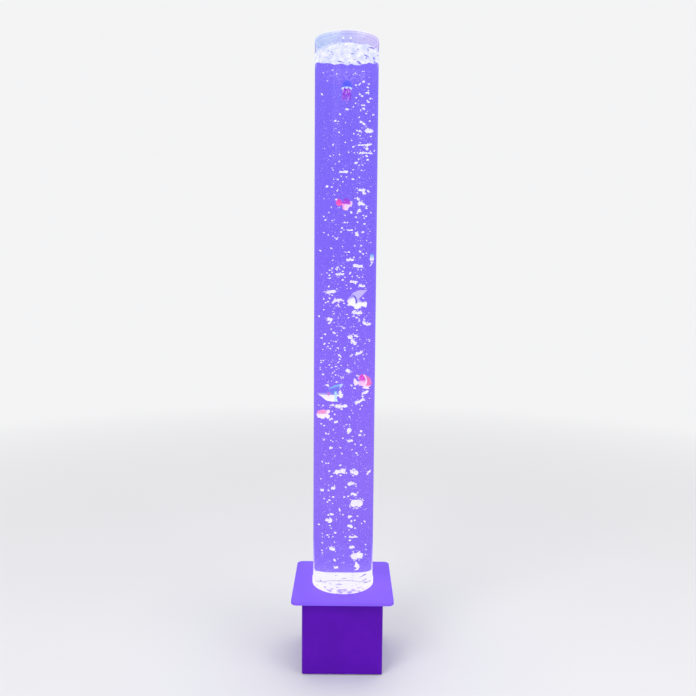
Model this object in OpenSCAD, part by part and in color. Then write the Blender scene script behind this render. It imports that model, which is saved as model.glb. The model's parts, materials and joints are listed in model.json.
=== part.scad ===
// Bubble tube floor lamp: a tall water column with drifting floats on a square lit base.
// The origin is the middle of the footprint on the floor, +Z is up and the front faces -Y.
// Sizes are millimetres.

/* [Tube] */
// Outer diameter of the clear tube
tube_od = 150; // [142:1:154]
// Wall of the clear tube
tube_wall = 3.5; // [3:0.5:5]
// Height of the tube with its lid over the top plate
tube_rise = 1316; // [1290:1:1420]
// Height of the collar round the tube's foot
collar_h = 12; // [6:1:25]
// Wall of the collar
collar_wall = 1.5; // [1:0.5:5]

/* [Lid] */
// Thickness of the lid's disc
lid_t = 5; // [3:0.5:8]
// Depth of the lid's plug inside the tube
lid_plug_h = 6; // [3:0.5:12]
// Diameter of the lid's vent holes
lid_vent_d = 4; // [2:0.5:6]
// Distance between the two vent holes
lid_vent_pitch = 17; // [10:1:30]
// Distance of the vent holes from the lid's middle, towards the front
lid_vent_offset = 24; // [10:1:40]

/* [Base] */
// Height of the top plate's upper face over the floor
base_h = 195; // [185:1:240]
// Side of the square top plate
plate_size = 245; // [225:1:280]
// Thickness of the top plate
plate_t = 8; // [7:0.5:14]
// Corner radius of the top plate
plate_corner_r = 14; // [8:1:25]
// Rounding of the top plate's edges
plate_edge_r = 1.2; // [0.6:0.2:2]
// Side of the square housing under the plate
box_size = 195; // [192:1:215]
// Wall of the housing
box_wall = 3.5; // [2.5:0.5:4]
// Corner radius of the housing
box_corner_r = 5; // [4.5:0.5:8]
// Thickness of the housing's roof
roof_t = 4; // [3:0.5:6]
// Thickness of the bottom cover
cover_t = 4; // [3.5:0.5:6]
// Diameter of a rubber foot
foot_d = 22; // [16:1:26]
// Height of a rubber foot
foot_h = 4; // [3:0.5:7]
// Distance of the feet from the base's middle lines
foot_pitch_half = 66; // [60:1:70]

/* [Tube seat] */
// How far the base disc's flange reaches past the tube
flange_margin = 13; // [10:0.5:15]
// Thickness of the base disc's flange
flange_t = 4; // [3:0.5:4.5]
// Thickness of the gasket under the flange
gasket_t = 1; // [0.5:0.25:1.5]
// Depth of the disc's plug under the roof's upper face
disc_plug_h = 8; // [6:0.5:10]
// Height of the disc's spigot inside the tube
spigot_h = 3; // [2:0.5:6]

/* [Light board] */
// Diodes on the outer ring
outer_leds = 24; // [12:1:28]
// Diodes on the inner ring
inner_leds = 12; // [6:1:16]
// Radius of the outer ring of diodes
outer_led_r = 56; // [50:1:59]
// Radius of the inner ring of diodes
inner_led_r = 34; // [28:1:40]
// Distance of the board under the roof
led_board_drop = 14; // [13:0.5:20]
// Thickness of the circuit boards
board_t = 1.6; // [1:0.2:2]

/* [Air line] */
// Outer diameter of the air hose
hose_od = 7; // [6:0.5:8]
// Wall of the air hose
hose_wall = 1.2; // [1:0.1:1.4]
// Bend radius of the air hose
hose_bend = 18; // [12:1:20]
// Height of the hose's level run over the floor
hose_level = 92; // [85:1:95]
// Diameter of the nozzle's thread through the base disc
nozzle_d = 10; // [8:0.5:12]
// Height of the nozzle's head over the disc
nozzle_h = 12; // [9:1:18]
// Diameter of the check valve
valve_d = 18; // [14:1:24]
// Length of the check valve's barrel
valve_len = 18; // [14:1:20]
// Height of the check valve's middle over the floor
valve_level = 127; // [122:1:130]

/* [Pump] */
// Side-to-side place of the diaphragm
pump_x = -42; // [-44:1:-38]
// Distance of the swinging arm in front of the hose line
arm_back = 30; // [29:1:32]
// Distance from the arm's pivot to the diaphragm
arm_drive_len = 30; // [26:1:34]
// Distance from the diaphragm to the magnet's pole face
arm_magnet_len = 30; // [28:1:34]
// Height of the arm's middle over the pump's tray
arm_level = 18.5; // [18:0.5:22]
// Gap between the magnet and the core's poles
pole_gap = 2.2; // [1.5:0.1:4]
// Depth of the laminated stack
core_h = 16; // [12:1:18]
// Length of the core along the arm
core_len = 30; // [26:1:34]
// Width of the core across its three poles
core_w = 40; // [38:1:44]
// Side of the square pump head
head_size = 32; // [31:1:34]
// Depth of the pump head
head_depth = 19; // [17:1:22]

/* [Rear panel] */
// Side-to-side place of the supply inlet
inlet_x = 45; // [40:1:50]
// Height of the supply inlet over the floor
inlet_z = 28; // [22:1:30]
// Diameter of the inlet's socket hole
inlet_bore_d = 5.7; // [5.5:0.1:6.5]
// Diameter of the inlet's centre pin
inlet_pin_d = 2; // [1.6:0.1:2.5]
// Side-to-side place of the push button
button_x = 30; // [24:1:36]
// Height of the push button over the floor
button_z = 70; // [66:1:74]
// Diameter of the push button
button_d = 10; // [8:1:12]
// Travel of the push button
button_travel = 1; // [0.5:0.1:1.2]

/* [Floats] */
// Height of the jellyfish's rim over the top plate
jellyfish_rise = 1217; // [1150:1:1225]
// Diameter of the jellyfish's bell
jellyfish_d = 25; // [20:1:26]
// Height of the jellyfish's bell over its rim
jellyfish_h = 20; // [12:1:21]
// Height of the red fish over the top plate
red_rise = 934; // [880:1:990]
// Length of the red fish
red_len = 44; // [36:1:46]
// Height of the cyan fish over the top plate
cyan_rise = 807; // [780:1:860]
// Length of the cyan fish
cyan_len = 38; // [30:1:40]
// Height of the striped fish over the top plate
striped_rise = 708; // [690:1:760]
// Length of the striped fish
striped_len = 51; // [38:1:53]
// Height of the banded fish over the top plate
banded_rise = 510; // [480:1:560]
// Length of the banded fish
banded_len = 47; // [38:1:48]
// Height of the blue fish over the top plate
blue_rise = 480; // [470:1:560]
// Length of the blue fish
blue_len = 66; // [50:1:67]
// Height of the pink fish over the top plate
pink_rise = 426; // [380:1:440]
// Length of the pink fish
pink_len = 34; // [28:1:38]
// Gap between a side fish's nose and the tube
fish_wall_gap = 2.5; // [1.5:0.5:5]

/* [Hidden] */
$fn = 64;

// Reach of a cut past the face that it opens
over = 1;
// Gap between a screw's shank and its pilot hole, and between other fixed round fits
snug = 0.05;
// Gap of a loose fit, all round
loose = 0.5;
// Gap between a moving piece and what guides it
running = 0.1;

// Heights of the base, from the floor up
foot_recess = 1;
box_bottom = foot_h - foot_recess;
cover_top = box_bottom + cover_t;
plate_bottom = base_h - plate_t;
roof_bottom = plate_bottom - roof_t;
box_in = box_size - 2 * box_wall;
wall_in = box_in / 2;

// The tube and what closes it
tube_r = tube_od / 2;
tube_ir = tube_r - tube_wall;
flange_r = tube_r + flange_margin;
flange_bottom = plate_bottom + gasket_t;
tube_bottom = flange_bottom + flange_t;
tube_top = base_h + tube_rise - lid_t;
disc_plug_r = tube_r - 4.5;
disc_bottom = plate_bottom - disc_plug_h;
roof_hole_r = disc_plug_r + loose;
spigot_top = tube_bottom + spigot_h;
collar_r = tube_r + running + collar_wall;

// Screws that share a size
m4_r = 2;
m4_head_r = 4;
m4_head_h = 2.4;
m3_r = 1.5;
m3_head_r = 2.8;
m3_head_h = 1.8;
clear_hole = 0.25;

// The housing's columns for the cover's screws
column_r = 7;
column_at = wall_in - column_r + 0.5;
cover_screw_len = 15;
counterbore_h = 2.2;
// Two screws beside each corner hold the top plate
plate_screw_far = wall_in - 8;
plate_screw_near = plate_screw_far - 24;
plate_screw_bite = 5;
roof_hoop_t = 3;
roof_rib_h = 12;

// The light board hangs on lugs inside the hoop
led_board_top = roof_bottom - led_board_drop;
led_board_r = roof_hole_r + 2;
led_lug_r = 4;
led_lug_at = roof_hole_r + running - led_lug_r + 1.2;
led_lug_bottom = led_board_top;
led_hole_r = 16;
led_side = 5;
led_h = 1.6;

// Leads to the control board
lead_r = 2;
lead_bend = 6;
plug_size = [8, 6, 7];
board_back = wall_in - 8;
board_front = board_back - board_t;
plug_face = board_front - plug_size[1];
board_left = -8;
board_w = 76;
board_bottom = 45;
board_height = 50;
board_hole_inset = 4;
post_r = 3.5;
led_lead_x = 40;
led_lead_y = 45;
led_lead_z = 85;
pump_lead_z = 70;
inlet_lead_z = 60;

// The air line, straight up the middle from the check valve
hose_r = hose_od / 2;
hose_ir = hose_r - hose_wall;
barb_r = hose_ir - snug;
barb_bore = barb_r - 1;
barb_len = 9;
valve_bottom = valve_level - valve_len / 2;
valve_top = valve_level + valve_len / 2;
valve_r = valve_d / 2;
nozzle_r = nozzle_d / 2;
nozzle_seal_t = 1.5;
nozzle_hex_h = 3.5;
nozzle_hex_r = nozzle_r + 3;
nut_h = 6;
nut_af_r = nozzle_r + 3.5;
nozzle_barb_top = disc_bottom - nut_h - 1;

// The pump, standing on grommets over the cover
post_h = 4;
grommet_flange = 2;
grommet_r = 5;
grommet_neck_r = 3.2;
tray_t = 2.5;
tray_bottom = cover_top + post_h + grommet_flange;
tray_top = tray_bottom + tray_t;
arm_z = tray_top + arm_level;
arm_y = -arm_back;
pivot_x = pump_x - arm_drive_len;
magnet_face_x = pump_x + arm_magnet_len;
pole_x = magnet_face_x + pole_gap;
core_end_x = pole_x + core_len;
core_bottom = arm_z - core_h / 2;
core_back_t = 8;
outer_pole_w = 7;
centre_pole_w = 11;
bobbin_wall = 1;
bobbin_fit = 0.2;
bobbin_flange_t = 1.5;
bobbin_flange_w = core_w - 2 * outer_pole_w - 1;
bobbin_flange_h = core_h + 14;
bobbin_start = pole_x + 0.5;
bobbin_end = core_end_x - core_back_t - 0.5;
tray_rim = 2;
tray_rim_h = 5;
tray_left = pivot_x - 10;
tray_right = core_end_x + 16;
tray_front = arm_y - core_w / 2 - 6;
tray_back = 8;
ear_inset = grommet_r + tray_rim + loose;
arm_t = 2;
arm_h = 10;
arm_tail = 5;
magnet = [8, 10, 12];
magnet_cup_wall = 1.5;
block_size = [12, 14, 22];
block_slot_gap = 0.35;
stud_r = 2;
stud_head_r = 4;
stud_head_h = 2.4;
stud_washer_r = 6;
stud_washer_t = 1;

// The diaphragm runs from the arm's washer to the valve plate
diaphragm_start = arm_y + arm_t / 2 + stud_washer_t;
diaphragm_len = 11;
diaphragm_flange_r = 15;
diaphragm_flange_t = 2;
plate_face = diaphragm_start + diaphragm_len;
valve_plate_t = 2.5;
head_face = plate_face + valve_plate_t;
ring_t = 4;
ring_hole_r = 12.3;
port_r = 1.5;
port_at = 6;
chamber = [14, head_depth - 2.5, 8];
head_screw_at = head_size / 2 - 3;
head_screw_bite = 12;
nipple_len = 13;

// Rear panel pieces
rear_face = box_size / 2;
inlet_flange_r = 7.5;
inlet_flange_t = 2;
inlet_barrel_r = 5.5;
inlet_back = wall_in - 12;
inlet_lead_y = inlet_back - 12;
inlet_floor = rear_face - 8.5;
inlet_nut_h = 3;
button_r = button_d / 2;
button_gap = 0.3;
button_lip = 1.5;
button_lip_t = 1.3;
button_proud = 2;
button_back = wall_in - running - button_lip_t;
switch_size = [8, 4, 8];
stem_r = 1.7;
stem_bore_depth = 2.8;

// Floats: body rings from nose to tail, and sides of each ring
fish_rings = 9;
fish_sides = 10;
fin_t = 1.4;
tail_share = 0.3;
// Lanes from the front of the tube to the back, so that no float meets another
front_lane = -32;
side_lane = -14;
pink_lane = 6;
striped_lane = 16;
striped_x = 29;
red_x = -5;
jellyfish_lane = 40;
cyan_thick = 10;
tentacle_count = 6;

base_paint = "indigo";
clear = [0.85, 0.9, 1, 0.3];
pcb = "darkgreen";
moulding = [0.13, 0.13, 0.15];
steel = "silver";
silicone = [0.8, 0.8, 0.84];

// A slab with round upright corners, its lower face at z = 0
module rounded_slab(side_x, side_y, h, r) {
    translate([-side_x / 2 + r, -side_y / 2, 0]) cube([side_x - 2 * r, side_y, h]);
    translate([-side_x / 2, -side_y / 2 + r, 0]) cube([side_x, side_y - 2 * r, h]);
    for (x = [-1, 1], y = [-1, 1])
        translate([x * (side_x / 2 - r), y * (side_y / 2 - r), 0]) cylinder(h = h, r = r);
}

// Repeats its children at the four corners of a rectangle
module corners(dx, dy) {
    for (x = [-1, 1], y = [-1, 1]) translate([x * dx, y * dy, 0]) children();
}

// Turns children that stand along +Z to lie along +Y
module along_y() {
    rotate([-90, 0, 0]) children();
}

// Turns children that stand along +Z to lie along +X
module along_x() {
    rotate([0, 90, 0]) children();
}

// A pan-head screw with its head's seat at z = 0 and its shank along -Z
module screw(shank_r, shank_len, head_r, head_h) {
    translate([0, 0, -shank_len]) cylinder(h = shank_len, r = shank_r);
    cylinder(h = head_h * 0.6, r = head_r);
    translate([0, 0, head_h * 0.6]) cylinder(h = head_h * 0.4, r1 = head_r, r2 = head_r * 0.75);
}

// A ring, or a disc where the inner radius is 0
module ring_profile(r_out, r_in) {
    difference() {
        circle(r_out);
        if (r_in > 0) circle(r_in);
    }
}

function unit(v) = v / norm(v);

// A straight length of tube between two points
module straight(from, to, r_out, r_in) {
    way = to - from;
    translate(from)
        rotate([0, acos(way[2] / norm(way)), atan2(way[1], way[0])])
            linear_extrude(height = norm(way)) ring_profile(r_out, r_in);
}

// A quarter bend of tube at a right-angled corner, arriving along a and leaving along b
module elbow(corner, a, b, bend, r_out, r_in) {
    c = corner - a * bend + b * bend;
    w = cross(-b, a);
    multmatrix([
        [-b[0], a[0], w[0], c[0]],
        [-b[1], a[1], w[1], c[1]],
        [-b[2], a[2], w[2], c[2]],
        [0, 0, 0, 1]
    ])
        rotate_extrude(angle = 90) translate([bend, 0]) ring_profile(r_out, r_in);
}

// A tube along right-angled stretches, with a quarter bend at each corner
module pipe_route(p, bend, r_out, r_in) {
    last = len(p) - 1;
    for (i = [0 : last - 1]) {
        way = unit(p[i + 1] - p[i]);
        from = p[i] + (i > 0 ? bend : 0) * way;
        to = p[i + 1] - (i < last - 1 ? bend : 0) * way;
        straight(from, to, r_out, r_in);
    }
    for (i = [1 : last - 1])
        elbow(p[i], unit(p[i] - p[i - 1]), unit(p[i + 1] - p[i]), bend, r_out, r_in);
}

// ---- Tube ----

module acrylic_tube() {
    color(clear)
        translate([0, 0, tube_bottom])
            linear_extrude(height = tube_top - tube_bottom) ring_profile(tube_r, tube_ir);
}

// Closes the tube: a plug in the roof's opening, a flange under the plate and a spigot in the tube
module tube_base_disc() {
    color(clear)
        difference() {
            union() {
                translate([0, 0, disc_bottom]) cylinder(h = flange_bottom - disc_bottom, r = disc_plug_r);
                translate([0, 0, flange_bottom]) cylinder(h = flange_t, r = flange_r);
                translate([0, 0, tube_bottom]) cylinder(h = spigot_h, r = tube_ir - snug);
            }
            translate([0, 0, disc_bottom - over])
                cylinder(h = spigot_top - disc_bottom + 2 * over, r = nozzle_r + snug);
        }
}

module flange_gasket() {
    color(silicone)
        translate([0, 0, plate_bottom])
            linear_extrude(height = gasket_t) ring_profile(flange_r - 1, roof_hole_r);
}

module foot_collar() {
    chamfer = collar_wall / 2;
    color(clear)
        translate([0, 0, base_h])
            rotate_extrude()
                polygon([
                    [tube_r + running, 0],
                    [collar_r, 0],
                    [collar_r, collar_h - chamfer],
                    [collar_r - chamfer, collar_h],
                    [tube_r + running, collar_h]
                ]);
}

module lid() {
    edge = 0.8;
    plug_r = tube_ir - button_gap;
    color(clear)
        difference() {
            translate([0, 0, tube_top])
                rotate_extrude()
                    polygon([
                        [0, -lid_plug_h],
                        [plug_r - edge, -lid_plug_h],
                        [plug_r, edge - lid_plug_h],
                        [plug_r, 0],
                        [tube_r, 0],
                        [tube_r, lid_t - edge],
                        [tube_r - edge, lid_t],
                        [0, lid_t]
                    ]);
            for (side = [-1, 1])
                translate([side * lid_vent_pitch / 2, -lid_vent_offset, tube_top - lid_plug_h - over])
                    cylinder(h = lid_t + lid_plug_h + 2 * over, d = lid_vent_d);
        }
}

// ---- Base ----

// One corner of the plate, rounded at its upper and lower edge
module plate_corner() {
    r = plate_corner_r;
    e = plate_edge_r;
    rotate_extrude($fn = 32)
        polygon([
            [0, 0],
            [r - e, 0],
            [r - e * 0.3, e * 0.3],
            [r, e],
            [r, plate_t - e],
            [r - e * 0.3, plate_t - e * 0.3],
            [r - e, plate_t],
            [0, plate_t]
        ]);
}

// Repeats its children at the eight screws between the roof and the plate
module plate_screw_places() {
    corners(plate_screw_far, plate_screw_near) children();
    corners(plate_screw_near, plate_screw_far) children();
}

module top_plate() {
    corner_at = plate_size / 2 - plate_corner_r;
    color(base_paint)
        difference() {
            translate([0, 0, plate_bottom])
                hull() corners(corner_at, corner_at) plate_corner();
            translate([0, 0, plate_bottom - over]) cylinder(h = plate_t + 2 * over, r = tube_r + loose);
            translate([0, 0, plate_bottom - over])
                cylinder(h = over + gasket_t + flange_t + running, r = flange_r + loose);
            plate_screw_places()
                translate([0, 0, plate_bottom - over])
                    cylinder(h = over + plate_screw_bite + snug, r = m4_r + snug);
        }
}

module plate_screws() {
    color(steel)
        plate_screw_places()
            translate([0, 0, roof_bottom])
                mirror([0, 0, 1]) screw(m4_r, roof_t + plate_screw_bite, m4_head_r, m4_head_h);
}

// Stiffens the roof round its opening and out to each column
module roof_ribs() {
    hoop_r = roof_hole_r + running + roof_hoop_t;
    rib_reach = column_at * sqrt(2) - hoop_r;
    translate([0, 0, roof_bottom - roof_rib_h]) {
        linear_extrude(height = roof_rib_h) ring_profile(hoop_r, roof_hole_r + running);
        for (turn = [45 : 90 : 315])
            rotate(turn)
                translate([hoop_r - over, -roof_hoop_t / 2, 0])
                    cube([rib_reach + over, roof_hoop_t, roof_rib_h]);
    }
}

// Repeats its children at the four lugs of the light board
module led_lug_places() {
    for (turn = [0 : 90 : 270]) rotate(turn) translate([led_lug_at, 0, 0]) children();
}

// Repeats its children at the four posts of the control board, facing -Y
module board_post_places(y) {
    for (x = [board_left + board_hole_inset, board_left + board_w - board_hole_inset],
         z = [board_bottom + board_hole_inset, board_bottom + board_height - board_hole_inset])
        translate([x, y, z]) along_y() children();
}

// A group of upright slots through the rear wall
module rear_vents() {
    vent_w = 3;
    vent_h = 34;
    vent_pitch = 8;
    vent_z = roof_bottom - roof_rib_h - vent_h - 12;
    for (i = [-4 : 4])
        translate([i * vent_pitch, wall_in - over, vent_z]) {
            translate([-vent_w / 2, 0, 0]) cube([vent_w, box_wall + 2 * over, vent_h]);
            for (z = [0, vent_h])
                translate([0, 0, z]) along_y() cylinder(h = box_wall + 2 * over, d = vent_w);
        }
}

module base_housing() {
    color(base_paint)
        difference() {
            union() {
                difference() {
                    translate([0, 0, box_bottom])
                        rounded_slab(box_size, box_size, plate_bottom - box_bottom, box_corner_r);
                    translate([0, 0, box_bottom - over])
                        rounded_slab(box_in, box_in,
                                     roof_bottom - box_bottom + over, box_corner_r - box_wall);
                }
                corners(column_at, column_at)
                    translate([0, 0, cover_top]) cylinder(h = roof_bottom - cover_top, r = column_r);
                roof_ribs();
                led_lug_places()
                    translate([0, 0, led_lug_bottom])
                        cylinder(h = disc_bottom - loose - led_lug_bottom, r = led_lug_r);
                board_post_places(board_back) cylinder(h = wall_in - board_back + over, r = post_r);
            }
            translate([0, 0, roof_bottom - over]) cylinder(h = roof_t + 2 * over, r = roof_hole_r);
            plate_screw_places()
                translate([0, 0, roof_bottom - over]) cylinder(h = roof_t + 2 * over, r = m4_r + clear_hole);
            corners(column_at, column_at)
                translate([0, 0, cover_top - over]) cylinder(h = cover_screw_len + over, r = m4_r + snug);
            led_lug_places()
                translate([0, 0, led_lug_bottom - over]) cylinder(h = 6 + over, r = m3_r + snug);
            board_post_places(board_back - over) cylinder(h = 7 + over, r = m3_r + snug);
            translate([inlet_x, wall_in - over, inlet_z])
                along_y() cylinder(h = box_wall + 2 * over, r = inlet_barrel_r + clear_hole);
            translate([button_x, wall_in - over, button_z])
                along_y() cylinder(h = box_wall + 2 * over, r = button_r + button_gap);
            rear_vents();
        }
}

// Repeats its children at the pump's four grommets
module pump_ear_places() {
    for (x = [tray_left + ear_inset, tray_right - ear_inset],
         y = [tray_front + ear_inset, tray_back - ear_inset])
        translate([x, y, 0]) children();
}

module bottom_cover() {
    side = box_in - 2 * button_gap;
    rim_h = 8;
    rim_t = 2;
    rim_len = 2 * column_at - 3 * column_r;
    slot_len = 40;
    slot_w = 3;
    slot_pitch = 12;
    slot_y = 24;
    color(moulding)
        difference() {
            union() {
                translate([0, 0, box_bottom]) rounded_slab(side, side, cover_t, box_corner_r - box_wall);
                for (turn = [0 : 90 : 270])
                    rotate(turn)
                        translate([side / 2 - 2 * rim_t, -rim_len / 2, cover_top - snug])
                            cube([rim_t, rim_len, rim_h + snug]);
                pump_ear_places()
                    translate([0, 0, cover_top - snug]) cylinder(h = post_h + snug, r = 4);
            }
            corners(column_at, column_at) {
                translate([0, 0, box_bottom - over])
                    cylinder(h = cover_t + 2 * over, r = m4_r + clear_hole);
                translate([0, 0, box_bottom - over])
                    cylinder(h = over + counterbore_h, r = m4_head_r + clear_hole);
            }
            corners(foot_pitch_half, foot_pitch_half)
                translate([0, 0, box_bottom - over]) cylinder(h = over + foot_recess, r = foot_d / 2 + snug);
            pump_ear_places()
                translate([0, 0, box_bottom + 1.5]) cylinder(h = cover_t + post_h + over, r = m3_r + snug);
            for (i = [-3 : 3])
                translate([i * slot_pitch - slot_w / 2, slot_y, box_bottom - over])
                    cube([slot_w, slot_len, cover_t + 2 * over]);
        }
}

module cover_screws() {
    head_seat = box_bottom + counterbore_h;
    shank = cover_t - counterbore_h + cover_screw_len - loose;
    color(steel)
        corners(column_at, column_at)
            translate([0, 0, head_seat]) mirror([0, 0, 1]) screw(m4_r, shank, m4_head_r, counterbore_h - 0.2);
}

module rubber_feet() {
    round_over = 1;
    r = foot_d / 2;
    color("dimgray")
        corners(foot_pitch_half, foot_pitch_half)
            rotate_extrude()
                polygon([[0, 0], [r - round_over, 0], [r, round_over], [r, foot_h], [0, foot_h]]);
}

// ---- Air line ----

// Head with its outlets, thread through the disc and barb for the hose
module air_nozzle() {
    head_bottom = spigot_top + nozzle_seal_t;
    dome_bottom = head_bottom + nozzle_hex_h;
    dome_h = nozzle_h - nozzle_seal_t - nozzle_hex_h;
    barb_bottom = nozzle_barb_top - barb_len;
    dome_top_r = nozzle_r * 0.55;
    bore_top = dome_bottom + dome_h / 2;
    outlet_d = 1.2;
    outlet_count = 4;
    color(silicone)
        difference() {
            union() {
                translate([0, 0, head_bottom]) cylinder(h = nozzle_hex_h, r = nozzle_hex_r, $fn = 6);
                rotate_extrude()
                    polygon([
                        [barb_bore, barb_bottom],
                        [barb_r, barb_bottom],
                        [barb_r, nozzle_barb_top],
                        [nozzle_r, nozzle_barb_top],
                        [nozzle_r, dome_bottom + dome_h * 0.3],
                        [dome_top_r, dome_bottom + dome_h],
                        [outlet_d / 2, dome_bottom + dome_h],
                        [outlet_d / 2, bore_top],
                        [barb_bore, bore_top]
                    ]);
            }
            translate([0, 0, head_bottom - over]) cylinder(h = nozzle_hex_h + 2 * over, r = barb_bore);
            for (i = [0 : outlet_count - 1])
                rotate((i + 0.5) * 360 / outlet_count)
                    translate([barb_bore - running, 0, dome_bottom + dome_h * 0.15])
                        along_x() cylinder(h = nozzle_r, d = outlet_d);
        }
}

module nozzle_seal() {
    color("dimgray")
        translate([0, 0, spigot_top])
            linear_extrude(height = nozzle_seal_t) ring_profile(nozzle_hex_r - 1, nozzle_r + snug);
}

module nozzle_nut() {
    color(silicone)
        translate([0, 0, disc_bottom - nut_h])
            difference() {
                cylinder(h = nut_h, r = nut_af_r, $fn = 6);
                translate([0, 0, -over]) cylinder(h = nut_h + 2 * over, r = nozzle_r + snug);
            }
}

module upper_hose() {
    from = valve_top + snug;
    to = nozzle_barb_top - snug;
    color(silicone) straight([0, 0, from], [0, 0, to], hose_r, hose_ir);
}

module lower_hose() {
    start_z = arm_z + head_size / 2 + snug;
    color(silicone)
        pipe_route(
            [[pump_x, 0, start_z], [pump_x, 0, hose_level], [0, 0, hose_level], [0, 0, valve_bottom - snug]],
            hose_bend, hose_r, hose_ir);
}

// One half of the check valve along +Z: its open half barrel at z = 0, with a barb at the far end
module valve_half(seat_r) {
    half = valve_len / 2;
    wall = 1.5;
    difference() {
        union() {
            cylinder(h = half - 3, r = valve_r);
            translate([0, 0, half - 3]) cylinder(h = 3, r1 = valve_r, r2 = valve_r * 0.6);
            translate([0, 0, half]) cylinder(h = barb_len, r = barb_r);
        }
        translate([0, 0, -over]) cylinder(h = over + 3, r = valve_r - wall);
        translate([0, 0, -over]) cylinder(h = half + barb_len + 2 * over, r = seat_r);
    }
}

module check_valve_top() {
    color("skyblue") translate([0, 0, valve_level]) valve_half(barb_bore);
}

module check_valve_bottom() {
    color("white") translate([0, 0, valve_level]) mirror([0, 0, 1]) valve_half(barb_bore);
}

module check_valve_disc() {
    disc_t = 1;
    color("dimgray") translate([0, 0, valve_level - 3]) cylinder(h = disc_t, r = valve_r - 2.5);
}

// ---- Pump ----

module pump_tray() {
    w = tray_right - tray_left;
    d = tray_back - tray_front;
    middle = [(tray_left + tray_right) / 2, (tray_front + tray_back) / 2, tray_bottom];
    pad_r = 5;
    cheek_t = 3;
    cheek_h = 14;
    color(moulding)
        difference() {
            union() {
                translate(middle) rounded_slab(w, d, tray_t, 4);
                translate(middle)
                    difference() {
                        rounded_slab(w, d, tray_t + tray_rim_h, 4);
                        translate([0, 0, -over])
                            rounded_slab(w - 2 * tray_rim, d - 2 * tray_rim,
                                         tray_t + tray_rim_h + 2 * over, 2);
                    }
                core_screw_places()
                    translate([0, 0, tray_top - snug]) cylinder(h = core_bottom - tray_top + snug, r = pad_r);
                for (side = [-1, 1])
                    translate([
                        pole_x + 1,
                        arm_y + side * (core_w - outer_pole_w) / 2 - outer_pole_w / 2,
                        tray_top - snug
                    ])
                        cube([6, outer_pole_w, core_bottom - tray_top + snug]);
                for (side = [-1, 1])
                    translate([
                        pivot_x - block_size[0] / 2,
                        arm_y + side * (block_size[1] / 2 + cheek_t / 2) - cheek_t / 2,
                        tray_top - snug
                    ])
                        cube([block_size[0], cheek_t, cheek_h + snug]);
            }
            pump_ear_places()
                translate([0, 0, tray_bottom - over])
                    cylinder(h = tray_t + 2 * over, r = grommet_neck_r + snug);
            core_screw_places()
                translate([0, 0, tray_top]) cylinder(h = core_bottom - tray_top + over, r = m3_r + snug);
        }
}

module pump_grommets() {
    color("dimgray")
        pump_ear_places()
            translate([0, 0, tray_bottom - grommet_flange])
                rotate_extrude()
                    polygon([
                        [m3_r + snug, 0],
                        [grommet_r, 0],
                        [grommet_r, grommet_flange],
                        [grommet_neck_r, grommet_flange],
                        [grommet_neck_r, grommet_flange + tray_t],
                        [grommet_r, grommet_flange + tray_t],
                        [grommet_r, 2 * grommet_flange + tray_t],
                        [m3_r + snug, 2 * grommet_flange + tray_t]
                    ]);
}

module pump_screws() {
    head_seat = tray_top + grommet_flange;
    color(steel)
        pump_ear_places()
            translate([0, 0, head_seat]) screw(m3_r, head_seat - box_bottom - 2, grommet_r - 1, m3_head_h);
}

// Repeats its children at the two screws through the core's back corners
module core_screw_places() {
    for (side = [-1, 1])
        translate([core_end_x - core_back_t / 2, arm_y + side * (core_w - outer_pole_w) / 2, 0]) children();
}

// E-shaped stack of laminations, its three poles facing the magnet
module pump_core() {
    color("slategray")
        difference() {
            translate([pole_x, arm_y, core_bottom]) {
                translate([core_len - core_back_t, -core_w / 2, 0]) cube([core_back_t, core_w, core_h]);
                translate([0, -centre_pole_w / 2, 0]) cube([core_len, centre_pole_w, core_h]);
                for (side = [-1, 1])
                    translate([0, side * (core_w - outer_pole_w) / 2 - outer_pole_w / 2, 0])
                        cube([core_len, outer_pole_w, core_h]);
            }
            core_screw_places()
                translate([0, 0, core_bottom - over]) cylinder(h = core_h + 2 * over, r = m3_r + clear_hole);
        }
}

module core_screws() {
    bite = core_bottom - tray_top - 1;
    color(steel)
        core_screw_places()
            translate([0, 0, core_bottom + core_h]) screw(m3_r, core_h + bite, m3_head_r, m3_head_h);
}

// A block round the centre pole with a hole for it, from one x to another
module pole_sleeve(from_x, to_x, w, h, hole_w, hole_h) {
    translate([from_x, arm_y, arm_z])
        difference() {
            translate([0, -w / 2, -h / 2]) cube([to_x - from_x, w, h]);
            translate([-over, -hole_w / 2, -hole_h / 2]) cube([to_x - from_x + 2 * over, hole_w, hole_h]);
        }
}

module coil_bobbin() {
    hole_w = centre_pole_w + bobbin_fit;
    hole_h = core_h + bobbin_fit;
    tube_w = hole_w + 2 * bobbin_wall;
    tube_h = hole_h + 2 * bobbin_wall;
    color("ivory") {
        pole_sleeve(bobbin_start, bobbin_end, tube_w, tube_h, hole_w, hole_h);
        for (start = [bobbin_start, bobbin_end - bobbin_flange_t])
            pole_sleeve(start, start + bobbin_flange_t, bobbin_flange_w, bobbin_flange_h, hole_w, hole_h);
    }
}

module coil_winding() {
    tube_w = centre_pole_w + bobbin_fit + 2 * bobbin_wall;
    tube_h = core_h + bobbin_fit + 2 * bobbin_wall;
    length = bobbin_end - bobbin_start - 2 * bobbin_flange_t;
    winding_w = bobbin_flange_w - 1.5;
    winding_h = bobbin_flange_h - 2;
    color("peru")
        translate([bobbin_start + bobbin_flange_t, arm_y, arm_z])
            along_x()
                difference() {
                    rounded_slab(winding_h, winding_w, length, 3);
                    translate([-tube_h / 2, -tube_w / 2, -over]) cube([tube_h, tube_w, length + 2 * over]);
                }
}

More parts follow.
